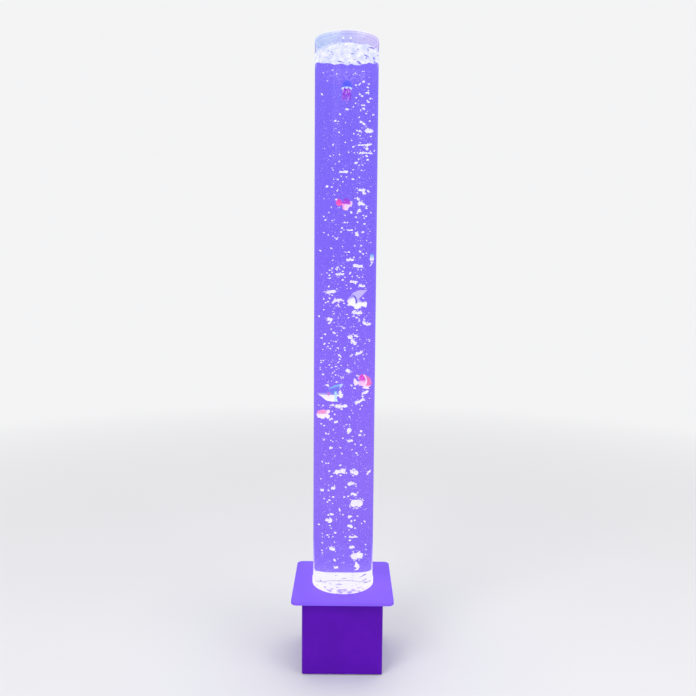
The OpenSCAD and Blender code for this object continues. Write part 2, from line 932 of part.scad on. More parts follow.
// Rubber block that holds the arm's tail and lets it swing
module arm_block() {
    slot_w = arm_t + 2 * block_slot_gap;
    color("dimgray")
        difference() {
            translate([pivot_x - block_size[0] / 2, arm_y - block_size[1] / 2, tray_top])
                cube([block_size[0], block_size[1], arm_level + arm_h / 2 + 1]);
            translate([pivot_x - arm_tail - loose, arm_y - slot_w / 2, arm_z - arm_h / 2 - running])
                cube([block_size[0], slot_w, arm_h + over + 2 * running]);
        }
}

// Swinging arm with a cup for the magnet at its free end
module pump_arm() {
    cup_w = magnet[1] + 2 * magnet_cup_wall;
    cup_h = magnet[2] + 2 * magnet_cup_wall;
    cup_x = magnet_face_x - magnet[0] - magnet_cup_wall;
    cup_len = magnet[0] + magnet_cup_wall - 1;
    boss_len = 8;
    color("whitesmoke")
        difference() {
            union() {
                translate([pivot_x - arm_tail, arm_y - arm_t / 2, arm_z - arm_h / 2])
                    cube([cup_x - pivot_x + arm_tail + snug, arm_t, arm_h]);
                for (side = [-1, 1])
                    translate([pivot_x + 9, arm_y - arm_t, arm_z + side * (arm_h / 2 - 1) - 1])
                        cube([cup_x - pivot_x - 9 - boss_len, 2 * arm_t, 2]);
                translate([cup_x, arm_y - cup_w / 2, arm_z - cup_h / 2]) cube([cup_len, cup_w, cup_h]);
            }
            translate([cup_x + magnet_cup_wall, arm_y - magnet[1] / 2 - snug, arm_z - magnet[2] / 2 - snug])
                cube([cup_len, magnet[1] + 2 * snug, magnet[2] + 2 * snug]);
            translate([pump_x, arm_y - 2 * arm_t, arm_z])
                along_y() cylinder(h = 4 * arm_t, r = stud_r + snug);
            translate([pump_x, arm_y - 3 * arm_t, arm_z])
                along_y() cylinder(h = 3 * arm_t - arm_t / 2, r = stud_washer_r + loose);
            translate([pump_x, arm_y + arm_t / 2, arm_z])
                along_y() cylinder(h = 3 * arm_t, r = stud_washer_r + loose);
        }
}

module arm_magnet() {
    color("gray")
        translate([magnet_face_x - magnet[0], arm_y - magnet[1] / 2, arm_z - magnet[2] / 2]) cube(magnet);
}

// Screw through the arm, with the washer that pushes the diaphragm
module diaphragm_stud() {
    color(steel)
        translate([pump_x, arm_y - arm_t / 2, arm_z])
            along_y() {
                translate([0, 0, -stud_head_h]) cylinder(h = stud_head_h, r = stud_head_r);
                cylinder(h = arm_t + stud_washer_t, r = stud_r);
                translate([0, 0, arm_t]) cylinder(h = stud_washer_t, r = stud_washer_r);
            }
}

// Rubber cup with one fold between its moving end and its clamped flange
module diaphragm() {
    len = diaphragm_len;
    rim = len - diaphragm_flange_t;
    skin = 1.2;
    fold_r = ring_hole_r - 0.5;
    color([0.2, 0.2, 0.22])
        translate([pump_x, diaphragm_start, arm_z])
            along_y()
                rotate_extrude()
                    polygon([
                        [0, 0],
                        [stud_washer_r, 0],
                        [stud_washer_r + 1.5, len * 0.3],
                        [fold_r - 1, len * 0.45],
                        [fold_r, rim],
                        [diaphragm_flange_r, rim],
                        [diaphragm_flange_r, len],
                        [fold_r - skin, len],
                        [fold_r - 1 - skin, len * 0.45 + skin],
                        [stud_washer_r + 1.5 - skin, len * 0.3 + skin],
                        [stud_washer_r - skin, skin],
                        [0, skin]
                    ]);
}

// Repeats its children at the head's four screws, standing along +Y from y = 0
module head_screw_places() {
    for (x = [-1, 1], z = [-1, 1])
        translate([pump_x + x * head_screw_at, 0, arm_z + z * head_screw_at]) children();
}

// A square slab of the head's stack, from one y to another
module head_slab(from_y, to_y) {
    translate([pump_x - head_size / 2, from_y, arm_z - head_size / 2])
        cube([head_size, to_y - from_y, head_size]);
}

module diaphragm_ring() {
    start = plate_face - ring_t;
    color(moulding)
        difference() {
            head_slab(start, plate_face);
            translate([pump_x, start - over, arm_z])
                along_y() cylinder(h = ring_t + 2 * over, r = ring_hole_r);
            translate([pump_x, plate_face - diaphragm_flange_t, arm_z])
                along_y() cylinder(h = diaphragm_flange_t + over, r = diaphragm_flange_r + snug);
            head_screw_places()
                translate([0, start - over, 0]) along_y() cylinder(h = ring_t + 2 * over, r = m3_r + snug);
        }
}

module valve_plate() {
    color("ivory")
        difference() {
            head_slab(plate_face, head_face);
            for (side = [-1, 1])
                translate([pump_x, plate_face - over, arm_z + side * port_at])
                    along_y() cylinder(h = valve_plate_t + 2 * over, r = port_r);
            head_screw_places()
                translate([0, plate_face - over, 0])
                    along_y() cylinder(h = valve_plate_t + 2 * over, r = m3_r + snug);
        }
}

// Rubber discs over the outlet port on the head's side and the inlet port on the diaphragm's side
module valve_flaps() {
    flap_r = 3;
    flap_t = 0.8;
    color("dimgray") {
        translate([pump_x, head_face, arm_z + port_at]) along_y() cylinder(h = flap_t, r = flap_r);
        translate([pump_x, plate_face - flap_t, arm_z - port_at]) along_y() cylinder(h = flap_t, r = flap_r);
    }
}

// Valve chambers behind the plate: outlet above with its nipple, inlet below with its air hole
module pump_head() {
    end = head_face + head_depth;
    top = arm_z + head_size / 2;
    bottom = arm_z - head_size / 2;
    inlet_hole_r = 2;
    color(moulding)
        difference() {
            union() {
                head_slab(head_face, end);
                translate([pump_x - head_size / 2 + 3, head_face + 2, tray_top])
                    cube([head_size - 6, head_depth - 4, bottom - tray_top + snug]);
                translate([pump_x, 0, top - snug]) cylinder(h = nipple_len + snug, r = barb_r);
            }
            for (side = [-1, 1])
                translate([pump_x, head_face - over, arm_z + side * port_at])
                    translate([-chamber[0] / 2, 0, -chamber[2] / 2])
                        cube([chamber[0], chamber[1] + over, chamber[2]]);
            translate([pump_x, 0, arm_z + port_at])
                cylinder(h = head_size / 2 + nipple_len, r = barb_bore);
            translate([pump_x, end - 2.5 - over, arm_z - port_at])
                along_y() cylinder(h = 5, r = inlet_hole_r);
            head_screw_places()
                translate([0, head_face - over, 0])
                    along_y() cylinder(h = over + head_screw_bite + loose, r = m3_r + snug);
        }
}

module head_screws() {
    start = plate_face - ring_t;
    color(steel)
        head_screw_places()
            translate([0, start, 0])
                rotate([90, 0, 0])
                    screw(m3_r, ring_t + valve_plate_t + head_screw_bite, m3_head_r, m3_head_h);
}

// ---- Light board ----

module led_board() {
    color(pcb)
        difference() {
            translate([0, 0, led_board_top - board_t])
                linear_extrude(height = board_t) ring_profile(led_board_r, led_hole_r);
            led_lug_places()
                translate([0, 0, led_board_top - board_t - over])
                    cylinder(h = board_t + 2 * over, r = m3_r + clear_hole);
        }
}

// A ring of square diodes on the board's upper face
module led_ring(count, r) {
    for (i = [0 : count - 1])
        rotate((i + 0.5) * 360 / count)
            translate([r - led_side / 2, -led_side / 2, led_board_top]) cube([led_side, led_side, led_h]);
}

module leds() {
    color("lightyellow") {
        led_ring(outer_leds, outer_led_r);
        led_ring(inner_leds, inner_led_r);
    }
}

module led_connector() {
    color("white")
        translate([led_lead_x, led_lead_y, led_board_top - board_t - plug_size[1]])
            translate([-plug_size[0] / 2, -plug_size[2] / 2, 0])
                cube([plug_size[0], plug_size[2], plug_size[1]]);
}

module led_board_screws() {
    color(steel)
        led_lug_places()
            translate([0, 0, led_board_top - board_t])
                mirror([0, 0, 1]) screw(m3_r, board_t + 5, m3_head_r, m3_head_h);
}

// ---- Control board ----

module control_board() {
    color(pcb)
        difference() {
            translate([board_left, board_front, board_bottom]) cube([board_w, board_t, board_height]);
            board_post_places(board_front - over) cylinder(h = board_t + 2 * over, r = m3_r + clear_hole);
        }
}

// A board connector with its lead face on the plug plane
module board_plug(x, z) {
    translate([x - plug_size[0] / 2, plug_face, z - plug_size[2] / 2]) cube(plug_size);
}

// Connectors, capacitor, bridge and driver chips on the board's inner face
// Places a part on the control board's front, from the board's lower left corner
module on_board(at) {
    translate([board_left + at[0], board_front, board_bottom + at[1]]) children();
}

module board_parts() {
    can_r = 5;
    can_h = 12;
    chip = [10, 2, 7];
    coil_r = 4;
    coil_h = 6;
    can_at = [33, 11];
    coil_at = [68, 35];
    chips_at = [[28, 29], [28, 40], [63, 21]];
    color([0.3, 0.3, 0.34]) {
        board_plug(led_lead_x, led_lead_z);
        board_plug(core_end_x - core_back_t - bobbin_flange_t, pump_lead_z);
        board_plug(inlet_x, inlet_lead_z);
        on_board(can_at) translate([0, -can_h, 0]) along_y() cylinder(h = can_h, r = can_r);
        on_board(coil_at) translate([0, -coil_h, 0]) along_y() cylinder(h = coil_h, r = coil_r);
        for (at = chips_at)
            on_board(at) translate([0, -chip[1], 0]) cube(chip);
    }
}

module board_screws() {
    color(steel)
        board_post_places(board_front) mirror([0, 0, 1]) screw_from_above();
}

// A board screw with its head towards +Z and its shank along -Z
module screw_from_above() {
    screw(m3_r, board_t + 6, m3_head_r, m3_head_h);
}

module button_switch() {
    color("black")
        difference() {
            translate([button_x - switch_size[0] / 2, board_back, button_z - switch_size[2] / 2])
                cube(switch_size);
            translate([button_x, board_back + switch_size[1] - stem_bore_depth, button_z])
                along_y() cylinder(h = stem_bore_depth + over, r = stem_r + snug);
        }
}

module switch_stem() {
    stem_start = board_back + switch_size[1] - stem_bore_depth + button_travel + running;
    color("ivory")
        translate([button_x, stem_start, button_z])
            along_y() cylinder(h = button_back - stem_start, r = stem_r);
}

// Push button with a lip that keeps it behind the wall
module mode_button() {
    edge = 0.6;
    length = rear_face + button_proud - button_back;
    color([0.75, 0.7, 0.85])
        translate([button_x, button_back, button_z])
            along_y()
                rotate_extrude()
                    polygon([
                        [0, 0],
                        [button_r + button_lip, 0],
                        [button_r + button_lip, button_lip_t],
                        [button_r, button_lip_t],
                        [button_r, length - edge],
                        [button_r - edge, length],
                        [0, length]
                    ]);
}

// ---- Supply inlet ----

module inlet_socket() {
    color("black")
        translate([inlet_x, 0, inlet_z])
            difference() {
                union() {
                    translate([0, inlet_back, 0])
                        along_y() cylinder(h = rear_face - inlet_back, r = inlet_barrel_r);
                    translate([0, rear_face, 0]) along_y() cylinder(h = inlet_flange_t, r = inlet_flange_r);
                }
                translate([0, inlet_floor, 0])
                    along_y() cylinder(h = rear_face + inlet_flange_t - inlet_floor + over, d = inlet_bore_d);
            }
}

module inlet_pin() {
    color(steel)
        translate([inlet_x, inlet_floor, inlet_z])
            along_y() cylinder(h = rear_face + inlet_flange_t - 1 - inlet_floor, d = inlet_pin_d);
}

module inlet_nut() {
    color(steel)
        translate([inlet_x, wall_in - inlet_nut_h, inlet_z])
            along_y()
                difference() {
                    cylinder(h = inlet_nut_h, r = inlet_flange_r, $fn = 6);
                    translate([0, 0, -over]) cylinder(h = inlet_nut_h + 2 * over, r = inlet_barrel_r + snug);
                }
}

// ---- Inner leads ----

module led_lead() {
    color("dimgray")
        pipe_route(
            [
                [led_lead_x, led_lead_y, led_board_top - board_t - plug_size[1]],
                [led_lead_x, led_lead_y, led_lead_z],
                [led_lead_x, plug_face, led_lead_z]
            ],
            2 * lead_bend, lead_r, 0);
}

module pump_lead() {
    x = core_end_x - core_back_t - bobbin_flange_t;
    start_z = arm_z + bobbin_flange_h / 2;
    color("dimgray")
        pipe_route(
            [[x, arm_y, start_z], [x, arm_y, pump_lead_z], [x, plug_face, pump_lead_z]],
            lead_bend, lead_r, 0);
}

module inlet_lead() {
    color("dimgray")
        pipe_route(
            [
                [inlet_x, inlet_back, inlet_z],
                [inlet_x, inlet_lead_y, inlet_z],
                [inlet_x, inlet_lead_y, inlet_lead_z],
                [inlet_x, plug_face, inlet_lead_z]
            ],
            lead_bend, lead_r, 0);
}

// ---- Floats ----

// Half height of a fish's body, from the nose at u = 0 to the tail root at u = 1
function fish_swell(u, nose) = 0.9 * pow(sin(180 * pow(u, nose)), 0.8) + 0.22 * u;

// A fish's body, lofted from oval rings, with its nose towards -X
module fish_body(body_len, h, t, nose) {
    points = [
        for (i = [0 : fish_rings - 1], j = [0 : fish_sides - 1])
            let (u = 0.03 + 0.97 * i / (fish_rings - 1), a = 360 * j / fish_sides, s = fish_swell(u, nose))
            [u * body_len, t / 2 * s * cos(a), h / 2 * s * sin(a)]
    ];
    skin = [
        for (i = [0 : fish_rings - 2], j = [0 : fish_sides - 1])
            let (a = i * fish_sides + j, b = i * fish_sides + (j + 1) % fish_sides, n = fish_sides)
            each [[a, b + n, b], [a, a + n, b + n]]
    ];
    last = (fish_rings - 1) * fish_sides;
    nose_cap = [for (j = [0 : fish_sides - 1]) j];
    tail_cap = [for (j = [fish_sides - 1 : -1 : 0]) last + j];
    polyhedron(points, concat(skin, [nose_cap, tail_cap]), convexity = 4);
}

// A thin fin in the fish's upright middle plane
module fin(outline) {
    rotate([90, 0, 0]) linear_extrude(height = fin_t, center = true) polygon(outline);
}

// A whole fish along X, centred, nose towards -X. The dorsal fin rises by crest and sweeps back by sweep.
module fish(length, h, t, nose, crest, sweep) {
    body_len = length * (1 - tail_share);
    root = 0.2 * h / 2;
    eye_u = 0.2;
    eye_r = 0.08 * h + 0.4;
    translate([-length / 2, 0, 0]) {
        fish_body(body_len, h, t, nose);
        // tail fin with a fork
        fin([
            [body_len * 0.94, -root],
            [length, -h * 0.42],
            [length * 0.93, 0],
            [length, h * 0.42],
            [body_len * 0.94, root]
        ]);
        // dorsal fin
        fin([
            [body_len * 0.22, h * 0.3],
            [body_len * (0.45 + sweep), h / 2 + crest],
            [body_len * (0.6 + sweep), h / 2 + crest * 0.85],
            [body_len * 0.85, h * 0.15]
        ]);
        // belly fin
        fin([
            [body_len * 0.4, -h * 0.35],
            [body_len * 0.62, -h / 2 - crest * 0.4],
            [body_len * 0.85, -h * 0.15]
        ]);
        // side fins and eyes
        for (side = [-1, 1]) {
            translate([body_len * 0.4, side * t * 0.38, -h * 0.12])
                rotate([-side * 35, 0, 0])
                    fin([[0, 0], [body_len * 0.24, h * 0.12], [body_len * 0.26, -h * 0.22]]);
            translate([body_len * eye_u, side * t * 0.5 * fish_swell(eye_u, nose) * 0.86, h * 0.1])
                sphere(r = eye_r, $fn = 16);
        }
    }
}

// Places a fish that faces left with its nose at the tube's left wall
module at_left_wall(length, lane, rise) {
    translate([-(tube_ir - fish_wall_gap) + length / 2, lane, base_h + rise]) children();
}

// Places a fish that faces right with its nose at the tube's right wall
module at_right_wall(length, lane, rise) {
    translate([tube_ir - fish_wall_gap - length / 2, lane, base_h + rise]) rotate(180) children();
}

module red_fish() {
    color("crimson")
        translate([red_x, front_lane, base_h + red_rise]) fish(red_len, 20, 11, 0.7, 8, 0.05);
}

module cyan_fish() {
    color("deepskyblue")
        translate([tube_ir - fish_wall_gap - cyan_thick / 2, 0, base_h + cyan_rise])
            rotate(90) fish(cyan_len, 24, cyan_thick * 0.8, 0.75, 8, 0.1);
}

module striped_fish() {
    color("white")
        translate([striped_x, striped_lane, base_h + striped_rise]) fish(striped_len, 34, 13, 0.62, 10, 0.1);
}

module banded_fish() {
    color("hotpink")
        at_right_wall(banded_len, side_lane, banded_rise) fish(banded_len, 26, 12, 0.65, 7, 0.1);
}

module blue_fish() {
    color("dodgerblue")
        at_left_wall(blue_len, side_lane, blue_rise) fish(blue_len, 24, 12, 0.9, 15, 0.3);
}

module pink_fish() {
    color("pink")
        at_left_wall(pink_len, pink_lane, pink_rise) fish(pink_len, 19, 10, 0.6, 3, 0.05);
}

// Domed bell with a scalloped rim
module jellyfish_bell() {
    r = jellyfish_d / 2;
    rim_drop = 2.5;
    lobes = 10;
    lobe_r = 2.4;
    step = 10;
    color("dodgerblue")
        translate([0, jellyfish_lane, base_h + jellyfish_rise]) {
            rotate_extrude()
                polygon(concat(
                    [[0, 0], [r - lobe_r, -rim_drop * 0.4]],
                    [for (a = [0 : step : 90]) [r * cos(a), jellyfish_h * sin(a)]]
                ));
            for (i = [0 : lobes - 1])
                rotate(i * 360 / lobes)
                    translate([r - lobe_r, 0, -rim_drop * 0.2]) sphere(r = lobe_r, $fn = 16);
        }
}

// Middle line of a tentacle, u from 0 at the bell to 1 at the tip: it drops, flares and curls
function tentacle_at(u, drop, flare) = [
    3 + flare * pow(u, 1.6),
    2.2 * sin(300 * u),
    -drop * u
];

// A tapering tentacle of square-on oval rings
module tentacle(drop, flare) {
    rings = 8;
    sides = 6;
    points = [
        for (i = [0 : rings - 1], j = [0 : sides - 1])
            let (u = i / (rings - 1), p = tentacle_at(u, drop, flare), r = 1.7 - 1.1 * u, a = 360 * j / sides)
            p + [r * cos(a), r * sin(a), 0]
    ];
    skin = [
        for (i = [0 : rings - 2], j = [0 : sides - 1])
            let (a = i * sides + j, b = i * sides + (j + 1) % sides)
            each [[a, b, b + sides], [a, b + sides, a + sides]]
    ];
    top_cap = [for (j = [sides - 1 : -1 : 0]) j];
    tip_cap = [for (j = [0 : sides - 1]) (rings - 1) * sides + j];
    polyhedron(points, concat(skin, [top_cap, tip_cap]), convexity = 4);
}

module jellyfish_tentacles() {
    hub_h = 2;
    seat = 1.2;
    color("magenta")
        translate([0, jellyfish_lane, base_h + jellyfish_rise - seat]) {
            translate([0, 0, -hub_h]) cylinder(h = hub_h, r = 5);
            for (i = [0 : tentacle_count - 1])
                rotate(i * 360 / tentacle_count)
                    translate([0, 0, -hub_h / 2]) tentacle(i % 2 == 0 ? 30 : 24, jellyfish_d / 2 - 3);
        }
}

acrylic_tube();
tube_base_disc();
flange_gasket();
foot_collar();
lid();
top_plate();
plate_screws();
base_housing();
bottom_cover();
cover_screws();
rubber_feet();
air_nozzle();
nozzle_seal();
nozzle_nut();
upper_hose();
lower_hose();
check_valve_top();
check_valve_bottom();
check_valve_disc();
pump_tray();
pump_grommets();
pump_screws();
pump_core();
core_screws();
coil_bobbin();
coil_winding();
arm_block();
pump_arm();
arm_magnet();
diaphragm_stud();
diaphragm();
diaphragm_ring();
valve_plate();
valve_flaps();
pump_head();
head_screws();
led_board();
leds();
led_connector();
led_board_screws();
control_board();
board_parts();
board_screws();
button_switch();
switch_stem();
mode_button();
inlet_socket();
inlet_pin();
inlet_nut();
led_lead();
pump_lead();
inlet_lead();
jellyfish_bell();
jellyfish_tentacles();
red_fish();
cyan_fish();
striped_fish();
banded_fish();
blue_fish();
pink_fish();
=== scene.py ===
"""Bubble tube floor lamp: the finishes, the lit water with its bubbles and foam, and the floats."""

import json
import math
import random

import bmesh
import bpy
from bpy.props import FloatProperty, FloatVectorProperty, IntProperty, PointerProperty
from mathutils import Matrix, Vector, noise


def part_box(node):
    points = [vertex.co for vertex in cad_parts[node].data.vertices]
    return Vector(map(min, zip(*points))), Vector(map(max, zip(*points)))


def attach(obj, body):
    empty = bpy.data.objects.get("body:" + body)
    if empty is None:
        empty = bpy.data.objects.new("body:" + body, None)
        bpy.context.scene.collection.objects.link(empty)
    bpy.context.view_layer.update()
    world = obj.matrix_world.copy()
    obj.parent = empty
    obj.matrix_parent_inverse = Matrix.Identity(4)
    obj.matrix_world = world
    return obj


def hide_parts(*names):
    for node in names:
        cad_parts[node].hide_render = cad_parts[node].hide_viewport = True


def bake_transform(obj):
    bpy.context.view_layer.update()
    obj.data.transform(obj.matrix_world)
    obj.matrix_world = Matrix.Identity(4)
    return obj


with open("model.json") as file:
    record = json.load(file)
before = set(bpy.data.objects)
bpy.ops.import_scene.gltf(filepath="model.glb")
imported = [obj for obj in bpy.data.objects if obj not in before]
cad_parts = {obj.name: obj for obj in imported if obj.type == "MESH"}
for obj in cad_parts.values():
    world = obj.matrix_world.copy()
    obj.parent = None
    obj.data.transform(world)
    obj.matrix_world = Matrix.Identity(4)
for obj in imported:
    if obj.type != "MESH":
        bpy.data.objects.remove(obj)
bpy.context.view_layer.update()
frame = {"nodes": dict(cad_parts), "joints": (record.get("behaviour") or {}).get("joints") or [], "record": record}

bl_info = {
    "name": "Bubble Tube Floor Lamp",
    "version": (1, 0, 0),
    "blender": (4, 5, 0),
    "location": "View3D > Sidebar > Lamp",
    "description": "Builds a bubble tube floor lamp around its packed frame",
    "category": "Add Mesh",
}

MM = 0.001

# The reference camera
FRAME_PX = 696
FOCAL_PX = 707.9
SENSOR_MM = 36.0
CAMERA_PLACE = Vector((0.0083, -1.723, 0.967))
CAMERA_TILT = math.radians(5.94)
CAMERA_ROLL = math.radians(0.48)

# Pixels in which a metre shows at the tube, with a little to spare
PX_PER_M = 420

# Sizes that come from the frame
TUBE_LOW, TUBE_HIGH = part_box("acrylic_tube")
TUBE_R = TUBE_HIGH.x
LID_LOW, LID_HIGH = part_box("lid")
PLATE_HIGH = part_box("top_plate")[1]
COLLAR_LOW, COLLAR_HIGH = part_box("foot_collar")
DISC_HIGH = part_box("tube_base_disc")[1]

# The body that stands still
STAND = "stand"

TUBE_WALL = 3.5 * MM
BORE_R = TUBE_R - TUBE_WALL
# The lid's two vents stand at VENT_X on either side
VENT_X = 8.5 * MM
VENT_Y = -24 * MM
VENT_R = 2 * MM

# Colour of the floor and the backdrop as they are seen
BACKDROP = (0.90, 0.90, 0.91)

# The lit tube is a violet window: its outside lets this share of red, green and blue through and adds a glow.
# The glow is worked out so that the tube's two walls before the backdrop give the colour that is asked for.
WALL_PASS = (0.36, 0.36, 0.52)
# The water behind it takes away a little more and gives it back as light
WATER_PASS = (0.86, 0.85, 0.92)
WATER_TONE = (139, 110, 250)
# Lit colours in the water are written as they are seen from outside, and this gain brings them there
LIT_GAIN = 4.0
# What an opaque surface painted with the water's light still lets through
PAINTED_LIGHT_PASS = (0.03, 0.03, 0.03)
# The lid is seen through several of its surfaces, and each takes this power of the colour of its painted sheen
SHEEN_POWER = 0.33


# ---- colours ----

def linear(red, green, blue):
    """A colour given as 0 to 255 sRGB values, as the linear values that shaders take."""
    def channel(v):
        v = v / 255
        return v / 12.92 if v <= 0.04045 else ((v + 0.055) / 1.055) ** 2.4
    return tuple(channel(v) for v in (red, green, blue))


def wall_glow(red, green, blue):
    """The tube's own light for a tube that is seen in this sRGB colour before the backdrop."""
    return tuple(max(0.0, (c - p * p * b) / (1 + p))
                 for c, p, b in zip(linear(red, green, blue), WALL_PASS, BACKDROP))


def inside_tone():
    """What is seen of the far wall and the backdrop from inside the tube."""
    return tuple(g + p * b for g, p, b in zip(wall_glow(*WATER_TONE), WALL_PASS, BACKDROP))


def behind_water(colour):
    """The light that a thing in the water gives, at 1 / LIT_GAIN, to be seen from outside in this colour."""
    glow = wall_glow(*WATER_TONE)
    return tuple(max(0.0, ((c - g) / w - t * (1 - p)) / p) / LIT_GAIN
                 for c, g, w, t, p in zip(colour, glow, WALL_PASS, inside_tone(), WATER_PASS))


def seen(red, green, blue):
    """The light of a thing in the water that is seen from outside in this sRGB colour."""
    return behind_water(linear(red, green, blue))


def rgba(colour):
    """A colour with its opaque fourth value."""
    return (*colour[:3], 1.0)


# ---- the reference camera ----

def camera_matrix():
    """Place and direction of the reference camera."""
    place = Matrix.Translation(CAMERA_PLACE)
    return place @ Matrix.Rotation(math.pi / 2 - CAMERA_TILT, 4, "X") @ Matrix.Rotation(CAMERA_ROLL, 4, "Z")


def seen_at(px, py, y):
    """The point at depth y whose image is the pixel px, py."""
    ray = camera_matrix().to_3x3() @ Vector((px - FRAME_PX / 2, FRAME_PX / 2 - py, -FOCAL_PX))
    return CAMERA_PLACE + ray * ((y - CAMERA_PLACE.y) / ray.y)


def pixel_of(point):
    """The pixel in which the reference camera sees a point."""
    local = camera_matrix().inverted() @ point
    return FRAME_PX / 2 - FOCAL_PX * local.x / local.z, FRAME_PX / 2 + FOCAL_PX * local.y / local.z


# ---- node trees ----

def new_material(name):
    """An empty material and its node tree."""
    material = bpy.data.materials.new(name)
    material.use_nodes = True
    material.node_tree.nodes.clear()
    return material, material.node_tree


def put(tree, kind, values=None, **settings):
    """A new shader node with these settings and input values."""
    node = tree.nodes.new("ShaderNode" + kind)
    for key, value in settings.items():
        setattr(node, key, value)
    for key, value in (values or {}).items():
        node.inputs[key].default_value = value
    return node


def join(tree, source, target):
    """Links an output socket to an input socket."""
    tree.links.new(source, target)


def output(tree, shader):
    """Makes a shader the material's surface."""
    join(tree, shader, put(tree, "OutputMaterial").inputs["Surface"])


def arithmetic(tree, operation, *values):
    """The result of an operation on values that are each a number or an output socket."""
    node = put(tree, "Math", operation=operation)
    for value, socket in zip(values, node.inputs):
        if isinstance(value, (int, float)):
            socket.default_value = value
        else:
            join(tree, value, socket)
    return node.outputs["Value"]


def both(tree, first, second):
    """1 where both are 1."""
    return arithmetic(tree, "MULTIPLY", first, second)


def either(tree, first, second):
    """1 where either is 1."""
    return arithmetic(tree, "MAXIMUM", first, second)


def total(tree, first, second):
    """The sum of two values."""
    return arithmetic(tree, "ADD", first, second)


def remap(tree, value, from_low, from_high, to_low=0.0, to_high=1.0):
    """A value moved from one range to another and held within it."""
    node = put(tree, "MapRange", {
        "From Min": from_low, "From Max": from_high, "To Min": to_low, "To Max": to_high})
    join(tree, value, node.inputs["Value"])
    return node.outputs["Result"]


def opposite(tree, value):
    """1 where a value is 0, and 0 where it is 1."""
    return remap(tree, value, 0.0, 1.0, 1.0, 0.0)


def step_at(tree, value, place, soft):
    """0 below a place and 1 above it, over a soft edge."""
    return remap(tree, value, place - soft, place + soft)


def stripe_at(tree, value, place, half, soft):
    """1 within half of a place."""
    away = arithmetic(tree, "ABSOLUTE", arithmetic(tree, "SUBTRACT", value, place))
    return remap(tree, away, half - soft, half + soft, 1.0, 0.0)


def blend_colours(tree, factor, first, second):
    """A mix of two colours, each a tuple or a colour socket."""
    node = put(tree, "Mix", data_type="RGBA")
    join(tree, factor, node.inputs["Factor"])
    for colour, socket in ((first, node.inputs[6]), (second, node.inputs[7])):
        if isinstance(colour, tuple):
            socket.default_value = rgba(colour)
        else:
            join(tree, colour, socket)
    return node.outputs[2]


def split_at(tree, value, place, soft, below, above):
    """One colour below a place and another above it, over a soft edge."""
    return blend_colours(tree, step_at(tree, value, place, soft), below, above)


def added(tree, first, second):
    """The sum of two colours."""
    node = put(tree, "Mix", {"Factor": 1.0}, data_type="RGBA", blend_type="ADD")
    join(tree, first, node.inputs[6])
    join(tree, second, node.inputs[7])
    return node.outputs[2]


def ramp(tree, factor, stops):
    """A colour ramp through (position, colour) stops."""
    node = put(tree, "ValToRGB")
    elements = node.color_ramp.elements
    while len(elements) < len(stops):
        elements.new(0.5)
    for element, (position, colour) in zip(elements, stops):
        element.position = position
        element.color = rgba(colour)
    join(tree, factor, node.inputs["Fac"])
    return node.outputs["Color"]


def mixed_shaders(tree, factor, first, second):
    """The first shader where the factor is 0, and the second where it is 1."""
    mix = put(tree, "MixShader")
    join(tree, factor, mix.inputs["Fac"])
    join(tree, first, mix.inputs[1])
    join(tree, second, mix.inputs[2])
    return mix.outputs["Shader"]


# ---- places and directions, for the finishes ----

def place_on_object(tree, scale=(1, 1, 1), offset=(0, 0, 0)):
    """Object coordinates, scaled and shifted."""
    coordinates = put(tree, "TexCoord")
    mapping = put(tree, "Mapping", {"Scale": scale, "Location": offset})
    join(tree, coordinates.outputs["Object"], mapping.inputs["Vector"])
    return mapping.outputs["Vector"]


def slanted(tree, sizes, degrees):
    """Object coordinates for streaks of these proportions that fall to the right by an angle."""
    coordinates = put(tree, "TexCoord")
    mapping = put(tree, "Mapping", {"Scale": sizes, "Rotation": (0, math.radians(degrees), 0)},
                  vector_type="TEXTURE")
    join(tree, coordinates.outputs["Object"], mapping.inputs["Vector"])
    return mapping.outputs["Vector"]


def axis_of(tree, vector, axis):
    """One of the three numbers of a vector."""
    parts = put(tree, "SeparateXYZ")
    join(tree, vector, parts.inputs["Vector"])
    return parts.outputs[axis]


def height_on_object(tree):
    """Height over the floor."""
    return axis_of(tree, place_on_object(tree), "Z")


def across_object(tree):
    """Distance to the right of the lamp's upright axis."""
    return axis_of(tree, place_on_object(tree), "X")


def radius_on_object(tree):
    """Distance from the lamp's upright axis."""
    node = put(tree, "VectorMath", operation="LENGTH")
    join(tree, place_on_object(tree, (1, 1, 0)), node.inputs[0])
    return node.outputs["Value"]


def across_tube(tree):
    """0 at the tube's left and right and 1 at its front and back, for edges that dip with the curve."""
    depth = axis_of(tree, place_on_object(tree, (1, 1 / TUBE_R, 1)), "Y")
    return arithmetic(tree, "POWER", arithmetic(tree, "ABSOLUTE", depth), 2.0)


def dipped_height(tree, dip):
    """Height, lowered by dip at the tube's front and back."""
    return arithmetic(tree, "MULTIPLY_ADD", across_tube(tree), -dip, height_on_object(tree))


def ragged_height(tree, dip, swing, size, offset):
    """Dipped height with a ragged edge of this swing."""
    wander = clouds(tree, place_on_object(tree, (1, 1, 1), offset), size, 4.0, 0.6)
    return total(tree, dipped_height(tree, dip), remap(tree, wander, 0.25, 0.75, -swing, swing))


def facing_up(tree):
    """-1 on a face that looks straight down and 1 on one that looks straight up."""
    return axis_of(tree, put(tree, "NewGeometry").outputs["Normal"], "Z")


def facing_away(tree):
    """0 where a face is seen head on and 1 where it is seen edge on."""
    return put(tree, "LayerWeight", {"Blend": 0.5}).outputs["Facing"]


def seen_rays(tree):
    """1 for the rays by which the backdrop is seen, in the lens, in a shiny surface or through glass."""
    rays = put(tree, "LightPath").outputs
    direct = either(tree, rays["Is Camera Ray"], rays["Is Glossy Ray"])
    return either(tree, direct, rays["Is Transmission Ray"])


# ---- patterns ----

